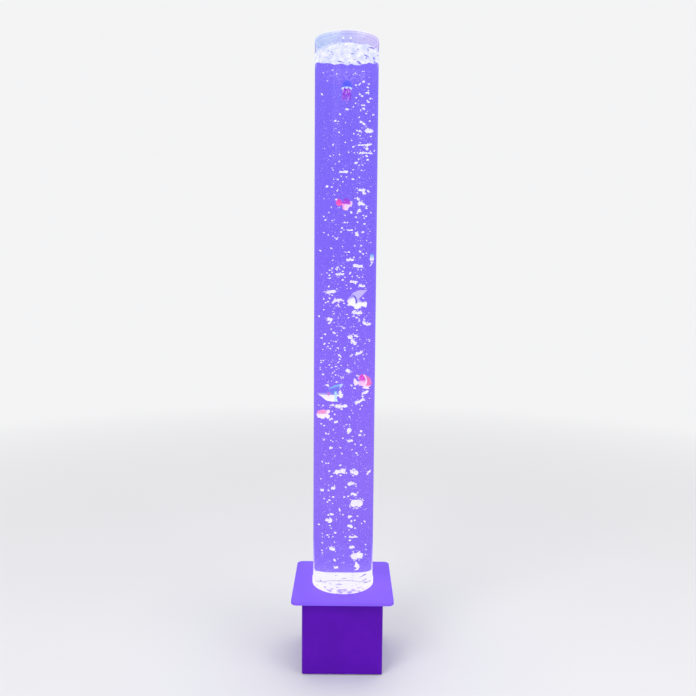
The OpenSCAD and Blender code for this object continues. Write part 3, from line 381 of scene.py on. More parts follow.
def clouds(tree, vector, size, detail=3.0, roughness=0.5):
    """Noise whose patches are about this many metres across."""
    node = put(tree, "TexNoise", {"Scale": 1 / size, "Detail": detail, "Roughness": roughness})
    join(tree, vector, node.inputs["Vector"])
    return node.outputs["Fac"]


def dots(tree, size, share, reach):
    """Small round dots in some of the cells of a size, 1 in their middle."""
    cells = put(tree, "TexVoronoi", {"Scale": 1 / size}, feature="F1")
    join(tree, place_on_object(tree, (1, 1, 1.15)), cells.inputs["Vector"])
    draw = put(tree, "SeparateColor")
    join(tree, cells.outputs["Color"], draw.inputs["Color"])
    chosen = remap(tree, draw.outputs["Red"], 1 - share, 1 - share + 0.02)
    return both(tree, chosen, remap(tree, cells.outputs["Distance"], 0.35 * reach, reach, 1.0, 0.0))


def relief(tree, height, depth):
    """A bump of this depth in metres."""
    node = put(tree, "Bump", {"Strength": 1.0, "Distance": depth})
    join(tree, height, node.inputs["Height"])
    return node.outputs["Normal"]


# ---- solid finishes ----

def solid_finish(name, tones, rough, patch, grain, depth, metallic=0.0, stretch=(1, 1, 1), shine=0.5):
    """Two tones in soft patches, roughness that follows them, and a fine grain in relief."""
    material, tree = new_material(name)
    shader = put(tree, "BsdfPrincipled", {"Metallic": metallic, "Specular IOR Level": shine})
    vector = place_on_object(tree, stretch)
    patches = clouds(tree, vector, patch)
    join(tree, blend_colours(tree, remap(tree, patches, 0.3, 0.7), *tones), shader.inputs["Base Color"])
    join(tree, remap(tree, patches, 0.3, 0.7, *rough), shader.inputs["Roughness"])
    join(tree, relief(tree, clouds(tree, vector, grain, 2.0), depth), shader.inputs["Normal"])
    output(tree, shader.outputs["BSDF"])
    return material


def banded_finish(name, tones, axis, size, rough, depth):
    """Fine parallel bands across one axis, each about one and a half sizes wide, as on wound wire or stacked
    steel sheets."""
    material, tree = new_material(name)
    shader = put(tree, "BsdfPrincipled", {"Metallic": 1.0, "Roughness": rough})
    bands = put(tree, "TexWave", {"Scale": 0.2 / size, "Distortion": 0.4, "Detail": 1.0, "Detail Scale": 2.0},
                wave_type="BANDS", bands_direction=axis, wave_profile="SIN")
    join(tree, place_on_object(tree), bands.inputs["Vector"])
    join(tree, blend_colours(tree, bands.outputs["Fac"], *tones), shader.inputs["Base Color"])
    join(tree, relief(tree, bands.outputs["Fac"], depth), shader.inputs["Normal"])
    output(tree, shader.outputs["BSDF"])
    return material


def circuit_finish(name):
    """Green solder mask over branching copper tracks."""
    material, tree = new_material(name)
    shader = put(tree, "BsdfPrincipled", {"Coat Weight": 0.5, "Coat Roughness": 0.15})
    cells = put(tree, "TexVoronoi", {"Scale": 160.0, "Randomness": 0.6}, distance="CHEBYCHEV", feature="F1")
    join(tree, place_on_object(tree), cells.inputs["Vector"])
    tracks = remap(tree, cells.outputs["Distance"], 0.36, 0.42)
    mask = blend_colours(tree, tracks, (0.008, 0.10, 0.035), (0.03, 0.22, 0.07))
    join(tree, mask, shader.inputs["Base Color"])
    join(tree, remap(tree, tracks, 0.0, 1.0, 0.35, 0.25), shader.inputs["Roughness"])
    join(tree, relief(tree, tracks, 0.05 * MM), shader.inputs["Normal"])
    output(tree, shader.outputs["BSDF"])
    return material


def diode_finish(name):
    """Yellow phosphor in a white frame, lit."""
    material, tree = new_material(name)
    shader = put(tree, "BsdfPrincipled", {"Roughness": 0.3, "Emission Strength": 1.5})
    vector = place_on_object(tree)
    tone = blend_colours(tree, clouds(tree, vector, 2 * MM), (0.95, 0.8, 0.35), (0.95, 0.9, 0.7))
    light = blend_colours(tree, clouds(tree, vector, 4 * MM), (0.75, 0.6, 1.0), (0.95, 0.85, 1.0))
    join(tree, tone, shader.inputs["Base Color"])
    join(tree, light, shader.inputs["Emission Color"])
    output(tree, shader.outputs["BSDF"])
    return material


def paint_finish(name, low, high):
    """Satin violet paint, a little uneven, with faint fingermarks in its shine."""
    material, tree = new_material(name)
    shader = put(tree, "BsdfPrincipled", {
        "Coat Weight": 0.02, "Coat Roughness": 0.35, "Specular IOR Level": 0.1})
    vector = place_on_object(tree)
    broad = remap(tree, clouds(tree, vector, 90 * MM, 2.0), 0.3, 0.7)
    marks = remap(tree, clouds(tree, vector, 14 * MM, 5.0, 0.65), 0.55, 0.8)
    marked = tuple(min(1.0, c * 1.3 + 0.03) for c in high)
    tone = blend_colours(tree, broad, low, high)
    tone = blend_colours(tree, remap(tree, marks, 0.0, 1.0, 0.0, 0.18), tone, marked)
    join(tree, tone, shader.inputs["Base Color"])
    join(tree, remap(tree, marks, 0.0, 1.0, 0.42, 0.58), shader.inputs["Roughness"])
    join(tree, relief(tree, clouds(tree, vector, 1.1 * MM, 2.0), 0.03 * MM), shader.inputs["Normal"])
    output(tree, shader.outputs["BSDF"])
    return material


# ---- the clear tube and lid ----

def add_glow(tree, shader, colour):
    """Adds a glow, of a colour or a colour socket, to a shader."""
    light = put(tree, "Emission", {"Strength": 1.0})
    if isinstance(colour, tuple):
        light.inputs["Color"].default_value = rgba(colour)
    else:
        join(tree, colour, light.inputs["Color"])
    joined = put(tree, "AddShader")
    join(tree, shader, joined.inputs[0])
    join(tree, light.outputs["Emission"], joined.inputs[1])
    return joined.outputs["Shader"]


def with_gloss(tree, shader, least, most, power):
    """A clear surface's shine, from least head on to most at a grazing view."""
    bent = arithmetic(tree, "POWER", facing_away(tree), power)
    gloss = put(tree, "BsdfGlossy", {"Roughness": 0.04})
    return mixed_shaders(tree, remap(tree, bent, 0.0, 1.0, least, most), shader, gloss.outputs["BSDF"])


def lit_tones(tree, height):
    """The tube's own light from its foot to its top."""
    return ramp(tree, remap(tree, height, PLATE_HIGH.z, TUBE_HIGH.z), [
        (0.03, wall_glow(138, 108, 250)), (0.10, wall_glow(143, 113, 251)), (0.2, wall_glow(147, 116, 252)),
        (0.38, wall_glow(141, 109, 252)), (0.62, wall_glow(131, 105, 251)), (0.95, wall_glow(127, 109, 251))])


def sparkle(tree):
    """The glitter of the finest bubbles."""
    dark = (0.0, 0.0, 0.0)
    fine = blend_colours(tree, dots(tree, 3.2 * MM, 0.62, 0.27), dark, (0.17, 0.16, 0.12))
    coarse = blend_colours(tree, dots(tree, 7.0 * MM, 0.4, 0.2), dark, (0.34, 0.32, 0.2))
    return added(tree, fine, coarse)


def foam_light(tree):
    """Foam: white, with bluish painted shade in patches and violet painted shade between the bubbles, in the
    colour of the water that shows there: pits, and gaps that fall to the right, more of them there.
    """
    streaks = clouds(tree, slanted(tree, (2.0, 1.7, 0.5), 16), 11 * MM, 2.0, 0.5)
    leaning = total(tree, streaks, remap(tree, across_object(tree), -TUBE_R, TUBE_R, -0.075, 0.05))
    # Violet pits: painted shade between the bubbles, in the colour of the water
    shaded_pits = clouds(tree, place_on_object(tree, (1, 1, 1.2), (0.05, 0, 0)), 9 * MM, 3.0)
    shade = remap(tree, clouds(tree, place_on_object(tree), 12 * MM, 4.0, 0.65), 0.4, 0.7)
    white = blend_colours(tree, shade, linear(206, 214, 248), linear(255, 254, 255))
    white = split_at(tree, shaded_pits, 0.665, 0.02, white, linear(160, 152, 226))
    return split_at(tree, leaning, 0.635, 0.02, white, linear(128, 116, 218))


def foam_edges(tree, settings):
    """1 over the water and 1 over the foam, each with a ragged edge. The foam is lower at the far left."""
    water_edge = ragged_height(tree, -settings.foam_dip, 4 * MM, 20 * MM, (0.03, 0, 0))
    over_water = step_at(tree, water_edge, TUBE_HIGH.z - settings.foam_bottom, 0.5 * MM)
    left_slope = remap(tree, across_object(tree), -0.5 * TUBE_R, -0.2 * TUBE_R, 7 * MM, 0.0)
    foam_edge = total(tree, ragged_height(tree, 0.0, 4 * MM, 30 * MM, (0, 0.05, 0)), left_slope)
    return over_water, step_at(tree, foam_edge, TUBE_HIGH.z - settings.foam_top, 0.6 * MM)


def water_light(tree, settings, rim):
    """The water's own light, paler at the tube's two sides near the foot and just over the white band."""
    height = height_on_object(tree)
    edge = PLATE_HIGH.z + settings.band_top
    side = both(tree, step_at(tree, rim, 0.8, 0.12), remap(tree, height, edge, edge + 75 * MM, 0.7, 0.0))
    near = remap(tree, dipped_height(tree, settings.band_dip), edge, edge + 28 * MM, 0.13, 0.0)
    glow = added(tree, lit_tones(tree, height), sparkle(tree))
    glow = blend_colours(tree, side, glow, linear(236, 226, 255))
    return blend_colours(tree, near, glow, linear(196, 178, 254))


def self_lit_band(tree, settings):
    """The white band at the foot, with its thin joint line and small gaps."""
    joint = stripe_at(tree, dipped_height(tree, settings.joint_dip), PLATE_HIGH.z + settings.joint_line,
                      0.9 * MM, 0.8 * MM)
    gaps = clouds(tree, place_on_object(tree, (0.45, 0.45, 2.6), (0.02, 0, 0.01)), 10 * MM, 2.0)
    mist = clouds(tree, place_on_object(tree, (0.6, 0.6, 2.0)), 12 * MM, 4.0, 0.6)
    veil = remap(tree, mist, 0.5, 0.8, 0.0, 0.4)
    white = blend_colours(tree, veil, linear(248, 245, 255), linear(214, 200, 252))
    white = blend_colours(tree, joint, white, linear(200, 190, 228))
    return split_at(tree, gaps, 0.655, 0.015, white, linear(150, 126, 226))


def misted_wall_and_sheen(tree, rim):
    """What the wall over the foam lets through: patchy mist, with painted light that is cool at the left and warm
    at the right, and a painted violet reflection of the lit water at its grazing edges.
    """
    patches = remap(tree, clouds(tree, place_on_object(tree), 26 * MM, 3.0), 0.35, 0.65)
    cool = blend_colours(tree, patches, (0.76, 0.81, 0.97), (0.86, 0.89, 0.98))
    warm = blend_colours(tree, patches, (0.83, 0.80, 0.97), (0.90, 0.87, 0.98))
    # Painted light: cool at the left, warm at the right, and a painted violet reflection of the lit water at the
    # grazing edges
    mist_and_sheen = split_at(tree, across_object(tree), 0.0, 0.5 * TUBE_R, cool, warm)
    return split_at(tree, rim, 0.84, 0.08, mist_and_sheen, (0.42, 0.38, 0.86))


def painted_light_inside(tree, settings):
    """1 where the tube's inside is painted with light: opaque, in the water's colour, behind the white band and
    behind the foam.
    """
    edge = PLATE_HIGH.z + settings.band_top
    foot = remap(tree, dipped_height(tree, settings.band_dip), edge + 2 * MM, edge + 3 * MM, 1.0, 0.0)
    height = height_on_object(tree)
    low = TUBE_HIGH.z - settings.foam_bottom - settings.foam_dip - 8 * MM
    high = TUBE_HIGH.z - settings.foam_top - 8 * MM
    foam = both(tree, step_at(tree, height, low, 0.5 * MM),
                remap(tree, height, high - 1 * MM, high, 1.0, 0.0))
    return either(tree, foot, foam)


def tube_finish(name, settings):
    """The clear tube. Its outside shows the lit water, the foam, mist with a painted sheen over it and a white
    band at the foot.
    Painted light inside, opaque and in the water's colour behind the foam and the band, keeps the far side from
    showing through them."""
    material, tree = new_material(name)
    rim = facing_away(tree)
    outside = step_at(tree, radius_on_object(tree), TUBE_R - settings.wall / 2, 0.2 * MM)
    over_water, over_foam = foam_edges(tree, settings)
    wall_foam = both(tree, over_water, opposite(tree, over_foam))
    dry = both(tree, over_foam, over_water)
    edge = PLATE_HIGH.z + settings.band_top
    band = remap(tree, dipped_height(tree, settings.band_dip), edge - 1 * MM, edge + 1 * MM, 1.0, 0.0)

    glow = blend_colours(tree, band, water_light(tree, settings, rim), self_lit_band(tree, settings))
    glow = blend_colours(tree, wall_foam, glow, foam_light(tree))
    glow = blend_colours(tree, dry, glow, (0.012, 0.014, 0.05))
    glow = blend_colours(tree, outside, (0.0, 0.0, 0.0), glow)
    # A painted highlight along the tube's top end face
    glow = split_at(tree, height_on_object(tree), TUBE_HIGH.z - 0.2 * MM, 0.1 * MM, glow, (0.2, 0.2, 0.24))

    passing = blend_colours(tree, band, WALL_PASS, (0.04, 0.035, 0.05))
    passing = blend_colours(tree, wall_foam, passing, (0.1, 0.1, 0.12))
    passing = blend_colours(tree, dry, passing, misted_wall_and_sheen(tree, rim))
    passing = blend_colours(tree, outside, (0.985, 0.985, 0.995), passing)

    # Painted light: the tube's inside made opaque and given the water's glow
    painted = both(tree, opposite(tree, outside), painted_light_inside(tree, settings))
    clear = put(tree, "BsdfTransparent")
    join(tree, blend_colours(tree, painted, passing, PAINTED_LIGHT_PASS), clear.inputs["Color"])
    light = blend_colours(tree, painted, glow, inside_tone())
    output(tree, with_gloss(tree, add_glow(tree, clear.outputs["BSDF"], light), 0.004, 0.18, 5.0))
    return material


def at_vents(tree):
    """1 on the walls of the lid's two vents."""
    flat = put(tree, "CombineXYZ")
    join(tree, arithmetic(tree, "ABSOLUTE", across_object(tree)), flat.inputs["X"])
    join(tree, axis_of(tree, place_on_object(tree), "Y"), flat.inputs["Y"])
    away = put(tree, "VectorMath", {1: (VENT_X, VENT_Y, 0)}, operation="DISTANCE")
    join(tree, flat.outputs["Vector"], away.inputs[0])
    return remap(tree, away.outputs["Value"], VENT_R, VENT_R + 0.3 * MM, 1.0, 0.0)


def lid_finish(name):
    """Clear acrylic lit from below: a painted cool sheen on one side and a warm one on the other, and painted
    highlights on its rim, round the plug's edge and in the vents' mouths.
    """
    material, tree = new_material(name)
    height = height_on_object(tree)
    radius = radius_on_object(tree)
    sheen = [(0.0, linear(190, 214, 251)), (0.25, linear(208, 222, 254)), (0.5, linear(192, 190, 251)),
             (0.75, linear(216, 210, 253)), (1.0, linear(208, 190, 253))]
    sheen_pass = ramp(tree, remap(tree, across_object(tree), -TUBE_R, TUBE_R),
                [(share, tuple(c ** SHEEN_POWER for c in colour)) for share, colour in sheen])
    clear = put(tree, "BsdfTransparent")
    join(tree, sheen_pass, clear.inputs["Color"])
    edge = both(tree, step_at(tree, radius, TUBE_R - 0.9 * MM, 0.3 * MM),
                step_at(tree, height, LID_HIGH.z - 1.2 * MM, 0.5 * MM))
    plug_edge = both(tree, stripe_at(tree, radius, BORE_R - 0.4 * MM, 0.5 * MM, 0.4 * MM),
                     remap(tree, height, LID_LOW.z + 0.6 * MM, LID_LOW.z + 1.2 * MM, 1.0, 0.0))
    lit_mouths = both(tree, at_vents(tree), step_at(tree, height, LID_HIGH.z - 3 * MM, 0.5 * MM))
    # Painted highlights: bright lines on the rim and round the plug's edge, and light in the vents' mouths
    glow = blend_colours(tree, edge, (0.012, 0.012, 0.02), (0.3, 0.29, 0.32))
    glow = blend_colours(tree, plug_edge, glow, (0.2, 0.19, 0.24))
    glow = blend_colours(tree, lit_mouths, glow, (0.7, 0.7, 0.8))
    output(tree, with_gloss(tree, add_glow(tree, clear.outputs["BSDF"], glow), 0.03, 0.5, 4.0))
    return material


def foot_finish(name, violet_share, at_front=0.0):
    """Lit acrylic at the foot: nearly white, mottled with the violet of the water, more at front and back."""
    material, tree = new_material(name)
    coarse = clouds(tree, place_on_object(tree, (0.7, 0.7, 1.8)), 9 * MM, 4.0, 0.6)
    front = arithmetic(tree, "MULTIPLY_ADD", across_tube(tree), -at_front, coarse)
    mottle = remap(tree, front, violet_share - 0.05, violet_share + 0.06)
    glow = blend_colours(tree, mottle, linear(178, 152, 250), linear(250, 246, 255))
    shader = put(tree, "BsdfPrincipled", {
        "Base Color": (0.12, 0.11, 0.15, 1.0), "Roughness": 0.12, "Emission Strength": 0.92,
        "Specular IOR Level": 0.35})
    join(tree, glow, shader.inputs["Emission Color"])
    join(tree, relief(tree, coarse, 0.15 * MM), shader.inputs["Normal"])
    output(tree, shader.outputs["BSDF"])
    return material


# ---- the water and what is lit in it ----

def water_finish(name, floor):
    """The water itself, nearly clear: it takes a little of the far wall's light and gives as much back.
    Its underside on the foot gives the far wall's light alone."""
    material, tree = new_material(name)
    patches = remap(tree, clouds(tree, place_on_object(tree, (1, 1, 0.5)), 40 * MM, 3.0), 0.3, 0.7)
    # Painted light: the underside on the foot is made opaque and given the far wall's light
    under = remap(tree, height_on_object(tree), floor + 0.5 * MM, floor + 1.0 * MM, 1.0, 0.0)
    tone = inside_tone()
    given = tuple(t * (1 - p) for t, p in zip(tone, WATER_PASS))
    clear = put(tree, "BsdfTransparent")
    join(tree, blend_colours(tree, under, WATER_PASS, PAINTED_LIGHT_PASS), clear.inputs["Color"])
    glow = blend_colours(tree, patches, tuple(0.94 * c for c in given), tuple(1.06 * c for c in given))
    output(tree, add_glow(tree, clear.outputs["BSDF"], blend_colours(tree, under, glow, tone)))
    return material


def lit_finish(name, colour_maker, roughness=0.35):
    """A thing lit in the water: its colour as light, brighter where it faces down towards the light board."""
    material, tree = new_material(name)
    colour = colour_maker(tree)
    own_light = 0.9 * LIT_GAIN
    shader = put(tree, "BsdfPrincipled", {"Roughness": roughness, "Specular IOR Level": 0.2})
    join(tree, colour, shader.inputs["Emission Color"])
    join(tree, remap(tree, facing_up(tree), -1.0, 1.0, 1.12 * own_light, 0.88 * own_light),
         shader.inputs["Emission Strength"])
    darker = put(tree, "Mix", {"Factor": 1.0, 7: (0.5, 0.5, 0.5, 1.0)}, data_type="RGBA",
                 blend_type="MULTIPLY")
    join(tree, colour, darker.inputs[6])
    join(tree, darker.outputs[2], shader.inputs["Base Color"])
    output(tree, shader.outputs["BSDF"])
    return material


def lit_plain(name, first, second, size, roughness=0.35):
    """A lit finish of two tones in patches, as seen from outside."""
    def colour(tree):
        patches = remap(tree, clouds(tree, place_on_object(tree), size), 0.35, 0.65)
        return blend_colours(tree, patches, behind_water(first), behind_water(second))
    return lit_finish(name, colour, roughness)


def foam_finish(name, under):
    """White foam, lit, with violet painted shade in its hollows, and painted as violet as the water where it faces
    down.
    """
    material, tree = new_material(name)
    strength = 0.85
    shader = put(tree, "BsdfPrincipled", {"Base Color": (0.2, 0.19, 0.26, 1.0), "Roughness": 0.4,
                                          "Specular IOR Level": 0.2, "Emission Strength": strength})
    down = both(tree, remap(tree, facing_up(tree), -0.55, -0.2, 1.0, 0.0),
                remap(tree, height_on_object(tree), under + 4 * MM, under + 7 * MM, 1.0, 0.0))
    light = blend_colours(tree, down, foam_light(tree), tuple(c / strength for c in inside_tone()))
    join(tree, light, shader.inputs["Emission Color"])
    output(tree, shader.outputs["BSDF"])
    return material


def curved(tree, along, up, lean, bow):
    """The length share, leaned and bowed with the height share, for stripes that follow the body."""
    tilt = arithmetic(tree, "MULTIPLY_ADD", up, lean, along)
    middle = arithmetic(tree, "SUBTRACT", up, 0.5)
    return arithmetic(tree, "MULTIPLY_ADD", both(tree, middle, middle), bow, tilt)


def fish_finish(name, low, high, paint, length_axis="X", scales=0.1):
    """A lit skin with fine scales. The paint is worked out from the shares of length and height."""
    def colour(tree):
        vector = place_on_object(tree)
        axis = "XYZ".index(length_axis)
        along = remap(tree, axis_of(tree, vector, length_axis), low[axis], high[axis])
        up = remap(tree, axis_of(tree, vector, "Z"), low.z, high.z)
        cells = put(tree, "TexVoronoi", {"Scale": 1 / (1.3 * MM)}, feature="F1")
        join(tree, vector, cells.inputs["Vector"])
        shade = remap(tree, cells.outputs["Distance"], 0.25, 0.75, 0.0, scales)
        return blend_colours(tree, shade, paint(tree, along, up), seen(194, 178, 243))
    return lit_finish(name, colour, roughness=0.25)


# ---- meshes ----

def add_piece(name, bm, body, materials, replaces=()):
    """Turns a bmesh into a smooth piece that rides on a body, or on none where no body is given."""
    mesh = bpy.data.meshes.new(name)
    bm.to_mesh(mesh)
    bm.free()
    for material in materials:
        mesh.materials.append(material)
    for polygon in mesh.polygons:
        polygon.use_smooth = True
    piece = bpy.data.objects.new(name, mesh)
    bpy.context.scene.collection.objects.link(piece)
    if body:
        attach(piece, body)
    if replaces:
        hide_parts(*replaces)
    return piece


def dress(node, material):
    """Gives a node of the frame its finish."""
    node.data.materials.clear()
    node.data.materials.append(material)


def lathe(profile, steps, closed=False):
    """A bmesh turned from (radius, height) points. A closed profile makes a ring."""
    bm = bmesh.new()
    verts = [bm.verts.new((radius, 0, height)) for radius, height in profile]
    pairs = list(zip(verts, verts[1:])) + ([(verts[-1], verts[0])] if closed else [])
    edges = [bm.edges.new(pair) for pair in pairs]
    bmesh.ops.spin(bm, geom=verts + edges, cent=(0, 0, 0), axis=(0, 0, 1), angle=math.tau,
                   steps=steps, use_merge=True, use_duplicate=False)
    bmesh.ops.remove_doubles(bm, verts=bm.verts, dist=1e-6)
    bmesh.ops.recalc_face_normals(bm, faces=bm.faces)
    return bm


def sharp_by_angle(piece, degrees):
    """Keeps the shading of edges sharper than this crisp."""
    bm = bmesh.new()
    bm.from_mesh(piece.data)
    for edge in bm.edges:
        if len(edge.link_faces) == 2 and edge.calc_face_angle() > math.radians(degrees):
            edge.smooth = False
    bm.to_mesh(piece.data)
    bm.free()


def through(stations, s):
    """The values at s on a smooth curve through stations of (s, value, ...)."""
    last = len(stations) - 1
    i = next((k for k in range(last) if s <= stations[k + 1][0]), last - 1)
    before, start, end, after = (stations[min(max(k, 0), last)] for k in range(i - 1, i + 3))
    t = min(1.0, max(0.0, (s - start[0]) / (end[0] - start[0])))
    values = []
    for a, b, c, d in zip(before[1:], start[1:], end[1:], after[1:]):
        slope_in = (c - a) / 2
        slope_out = (d - b) / 2
        values.append((2 * t ** 3 - 3 * t ** 2 + 1) * b + (t ** 3 - 2 * t ** 2 + t) * slope_in
                      + (3 * t ** 2 - 2 * t ** 3) * c + (t ** 3 - t ** 2) * slope_out)
    return values


def bent_grid(bend, across, along):
    """A bmesh grid whose points u, v from 0 to 1 go where bend says."""
    grid = bmesh.new()
    bmesh.ops.create_grid(grid, x_segments=across, y_segments=along, size=1.0)
    for vert in grid.verts:
        vert.co = bend((vert.co.x + 1) / 2, (vert.co.y + 1) / 2)
    bmesh.ops.remove_doubles(grid, verts=grid.verts, dist=0.01 * MM)
    return grid


def add_sheet(bm, bend, across, along, thickness):
    """Adds a thin closed sheet, bent from a grid."""
    sheet = bent_grid(bend, across, along)
    bmesh.ops.recalc_face_normals(sheet, faces=sheet.faces)
    bmesh.ops.solidify(sheet, geom=sheet.faces, thickness=thickness)
    join_into(bm, sheet)


def join_into(bm, other):
    """Moves one bmesh into another."""
    mesh = bpy.data.meshes.new("joined")
    other.to_mesh(mesh)
    other.free()
    bm.from_mesh(mesh)
    bpy.data.meshes.remove(mesh)


class Froth:
    """Many small round bodies in one mesh, joined in batches, because one large bmesh grows slowly."""
    batch = 60

    def __init__(self, sides, rings):
        self.sides = sides
        self.rings = rings
        self.count = 0
        self.bm = bmesh.new()
        self.batches = []

    def add(self, centre, sizes, turn):
        """Adds an ellipsoid with these half axes."""
        matrix = Matrix.Translation(centre) @ turn @ Matrix.Diagonal((*sizes, 1.0))
        bmesh.ops.create_uvsphere(self.bm, u_segments=self.sides, v_segments=self.rings, radius=1.0,
                                  matrix=matrix)
        self.count += 1
        if self.count % self.batch == 0:
            self.put_by()

    def put_by(self):
        """Sets the batch aside."""
        mesh = bpy.data.meshes.new("batch")
        self.bm.to_mesh(mesh)
        self.bm.clear()
        self.batches.append(mesh)

    def whole(self):
        """One bmesh with all that was added."""
        self.put_by()
        for mesh in self.batches:
            self.bm.from_mesh(mesh)
            bpy.data.meshes.remove(mesh)
        return self.bm


class Fish:
    """A fish with its nose towards -X. Its places are shares of its length, from the nose to the tail's tip,
    of its height and of its width."""
    # Swing of a fin's rays, as a share of the width
    ripple = 0.03

    def __init__(self, low, high):
        self.low = low
        self.size = high - low
        self.bm = bmesh.new()

    def at(self, along, up, side=0.5):
        """The point at these shares of the length, height and width."""
        return self.low + Vector((along * self.size.x, side * self.size.y, up * self.size.z))

    def body(self, start, end, stations):
        """A body between two shares of the length. Stations are (share, centre, half height, half width)."""
        turn = Matrix.Rotation(math.pi / 2, 4, "Y")
        made = bmesh.ops.create_uvsphere(self.bm, u_segments=20, v_segments=18, radius=1.0, matrix=turn)
        for vert in made["verts"]:
            share = (vert.co.x + 1) / 2
            ring = math.hypot(vert.co.y, vert.co.z)
            ease = min(1.0, 1.9 * ring) / max(ring, 1e-6)
            centre, tall, wide = through(stations, share)
            vert.co = self.at(start + (end - start) * share, centre + tall * ease * vert.co.z,
                              0.5 + wide * ease * vert.co.y)

    def fin(self, root, tip, rays=7, scallop=0.06, lean=0.0, side=0.5, thickness=0.7 * MM):
        """A fin between a root line and a tip line, both of (along, up) points, with scalloped rays."""
        roots = [(i / (len(root) - 1), *point) for i, point in enumerate(root)]
        tips = [(i / (len(tip) - 1), *point) for i, point in enumerate(tip)]

        def bend(u, v):
            reach = v * (1 - scallop * abs(math.sin(math.pi * rays * u)) * v)
            foot = through(roots, u)
            end = through(tips, u)
            wave = self.ripple * math.sin(math.tau * rays * u) * v + lean * v ** 1.5
            along, up = (a + (b - a) * reach for a, b in zip(foot, end))
            return self.at(along, up, side + wave)

        add_sheet(self.bm, bend, 4 * rays, 6, thickness)

    def side_fins(self, root, tip, lean, out):
        """A fin on either side, with its root this share of the width out from the middle."""
        for side in (-1, 1):
            self.fin(root, tip, rays=3, lean=side * lean, side=0.5 + side * out)

    def eyes(self, along, up, size, out):
        """Two eyes, each a pale ring and a dark pupil, as the second and third material."""
        for side in (-1, 1):
            centre = self.at(along, up, 0.5 + side * out)
            for index, scale in ((1, 1.0), (2, 0.62)):
                place = centre + Vector((0, side * (1 - scale) * size * 1.15, 0))
                sizes = Matrix.Diagonal((size * scale, size * scale * 0.55, size * scale, 1.0))
                made = bmesh.ops.create_uvsphere(self.bm, u_segments=14, v_segments=9, radius=1.0,
                                                 matrix=Matrix.Translation(place) @ sizes)
                for face in {face for vert in made["verts"] for face in vert.link_faces}:
                    face.material_index = index


# ---- lanes and sight lines of the floats ----

def float_boxes():
    """(lowest, highest corner, travel down, travel up) of each float."""
    found = []
    bodies = frame["record"]["behaviour"]["bodies"]
    for joint in frame["joints"]:
        if joint["name"].endswith("_drift"):
            boxes = [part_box(node) for node in bodies[joint["child"]]]
            low = Vector(min(b[0][i] for b in boxes) for i in range(3))
            high = Vector(max(b[1][i] for b in boxes) for i in range(3))
            found.append((low, high, *joint["range_m"]))
    return found


def in_a_lane(point, radius, floats):
    """True where a float could meet a bubble of this radius on its way up or down."""
    gap = radius + 1.0 * MM
    for low, high, down, up in floats:
        beside = low.x - gap < point.x < high.x + gap and low.y - gap < point.y < high.y + gap
        if beside and low.z + down - gap < point.z < high.z + up + gap:
            return True
    return False


def hides_a_float(point, radius, floats):
    """True where a bubble would stand before a float in the reference view."""
    px, py = pixel_of(point)
    reach = radius * PX_PER_M
    for low, high, _, _ in floats:
        if point.y > low.y:
            continue
        middle = (low.y + high.y) / 2
        corners = [pixel_of(Vector((x, middle, z))) for x in (low.x, high.x) for z in (low.z, high.z)]
        xs, ys = zip(*corners)
        if min(xs) - reach < px < max(xs) + reach and min(ys) - reach < py < max(ys) + reach:
            return True
    return False


# ---- settings ----

class WaterSettings(bpy.types.PropertyGroup):
    """Sizes of the water, the foam and the lit band"""
    gap: FloatProperty(name="Gap", description="Gap between the water and the tube's bore",
                       default=0.15 * MM, unit="LENGTH")
    wall: FloatProperty(name="Tube wall", description="Wall of the clear tube",
                        default=TUBE_WALL, unit="LENGTH")
    band_top: FloatProperty(name="Lit band", default=38.5 * MM, unit="LENGTH",
                            description="Height of the white band's edge over the plate, at the sides")
    band_dip: FloatProperty(name="Band rise", description="Rise of the white band's edge to the front",
                            default=15.5 * MM, unit="LENGTH")
    joint_line: FloatProperty(name="Joint line", default=8 * MM, unit="LENGTH",
                              description="Height of the thin line in the band, at the sides")
    joint_dip: FloatProperty(name="Joint rise", description="Rise of the thin line to the front",
                             default=26 * MM, unit="LENGTH")
    surface: FloatProperty(name="Surface", description="Depth of the water's surface under the tube's top",
                           default=53 * MM, unit="LENGTH")
    foam_top: FloatProperty(name="Foam top", description="Depth of the foam's top under the tube's top",
                            default=22 * MM, unit="LENGTH")
    foam_bottom: FloatProperty(name="Foam bottom", default=51 * MM, unit="LENGTH",
                               description="Depth of the foam's edge under the tube's top, at the sides")
    foam_dip: FloatProperty(name="Foam dip", description="How much lower the foam hangs at the front",
                            default=19 * MM, unit="LENGTH")


class BubbleSettings(bpy.types.PropertyGroup):
    """Numbers and sizes of the bubbles"""
    specks: IntProperty(name="Specks", description="Number of the finest bubbles", default=700)
    small: IntProperty(name="Small", description="Number of small bubbles", default=440)
    large: IntProperty(name="Large", description="Number of large bubbles", default=130)
    speck_r: FloatProperty(name="Speck radius", description="Radius of the finest bubbles",
                           default=0.55 * MM, unit="LENGTH")
    small_r: FloatProperty(name="Small radius", description="Radius of small bubbles",
                           default=1.5 * MM, unit="LENGTH")
    large_r: FloatProperty(name="Large radius", description="Radius of large bubbles",
                           default=2.2 * MM, unit="LENGTH")
    seed: IntProperty(name="Seed", description="Seed of the bubbles' places", default=11)


class PaintSettings(bpy.types.PropertyGroup):
    """Colours of the paint. The plate's is the housing's paint made lighter with painted light from the tube's
    glow
    """
    # The plate's colour is the housing's paint with the tube's glow painted into it
    plate: FloatVectorProperty(name="Plate", description="Paint of the top plate", subtype="COLOR", size=3,
                               default=linear(139, 97, 253))
    housing: FloatVectorProperty(name="Housing", description="Paint of the housing", subtype="COLOR", size=3,
                                 default=linear(94, 8, 182))


# ---- operators ----

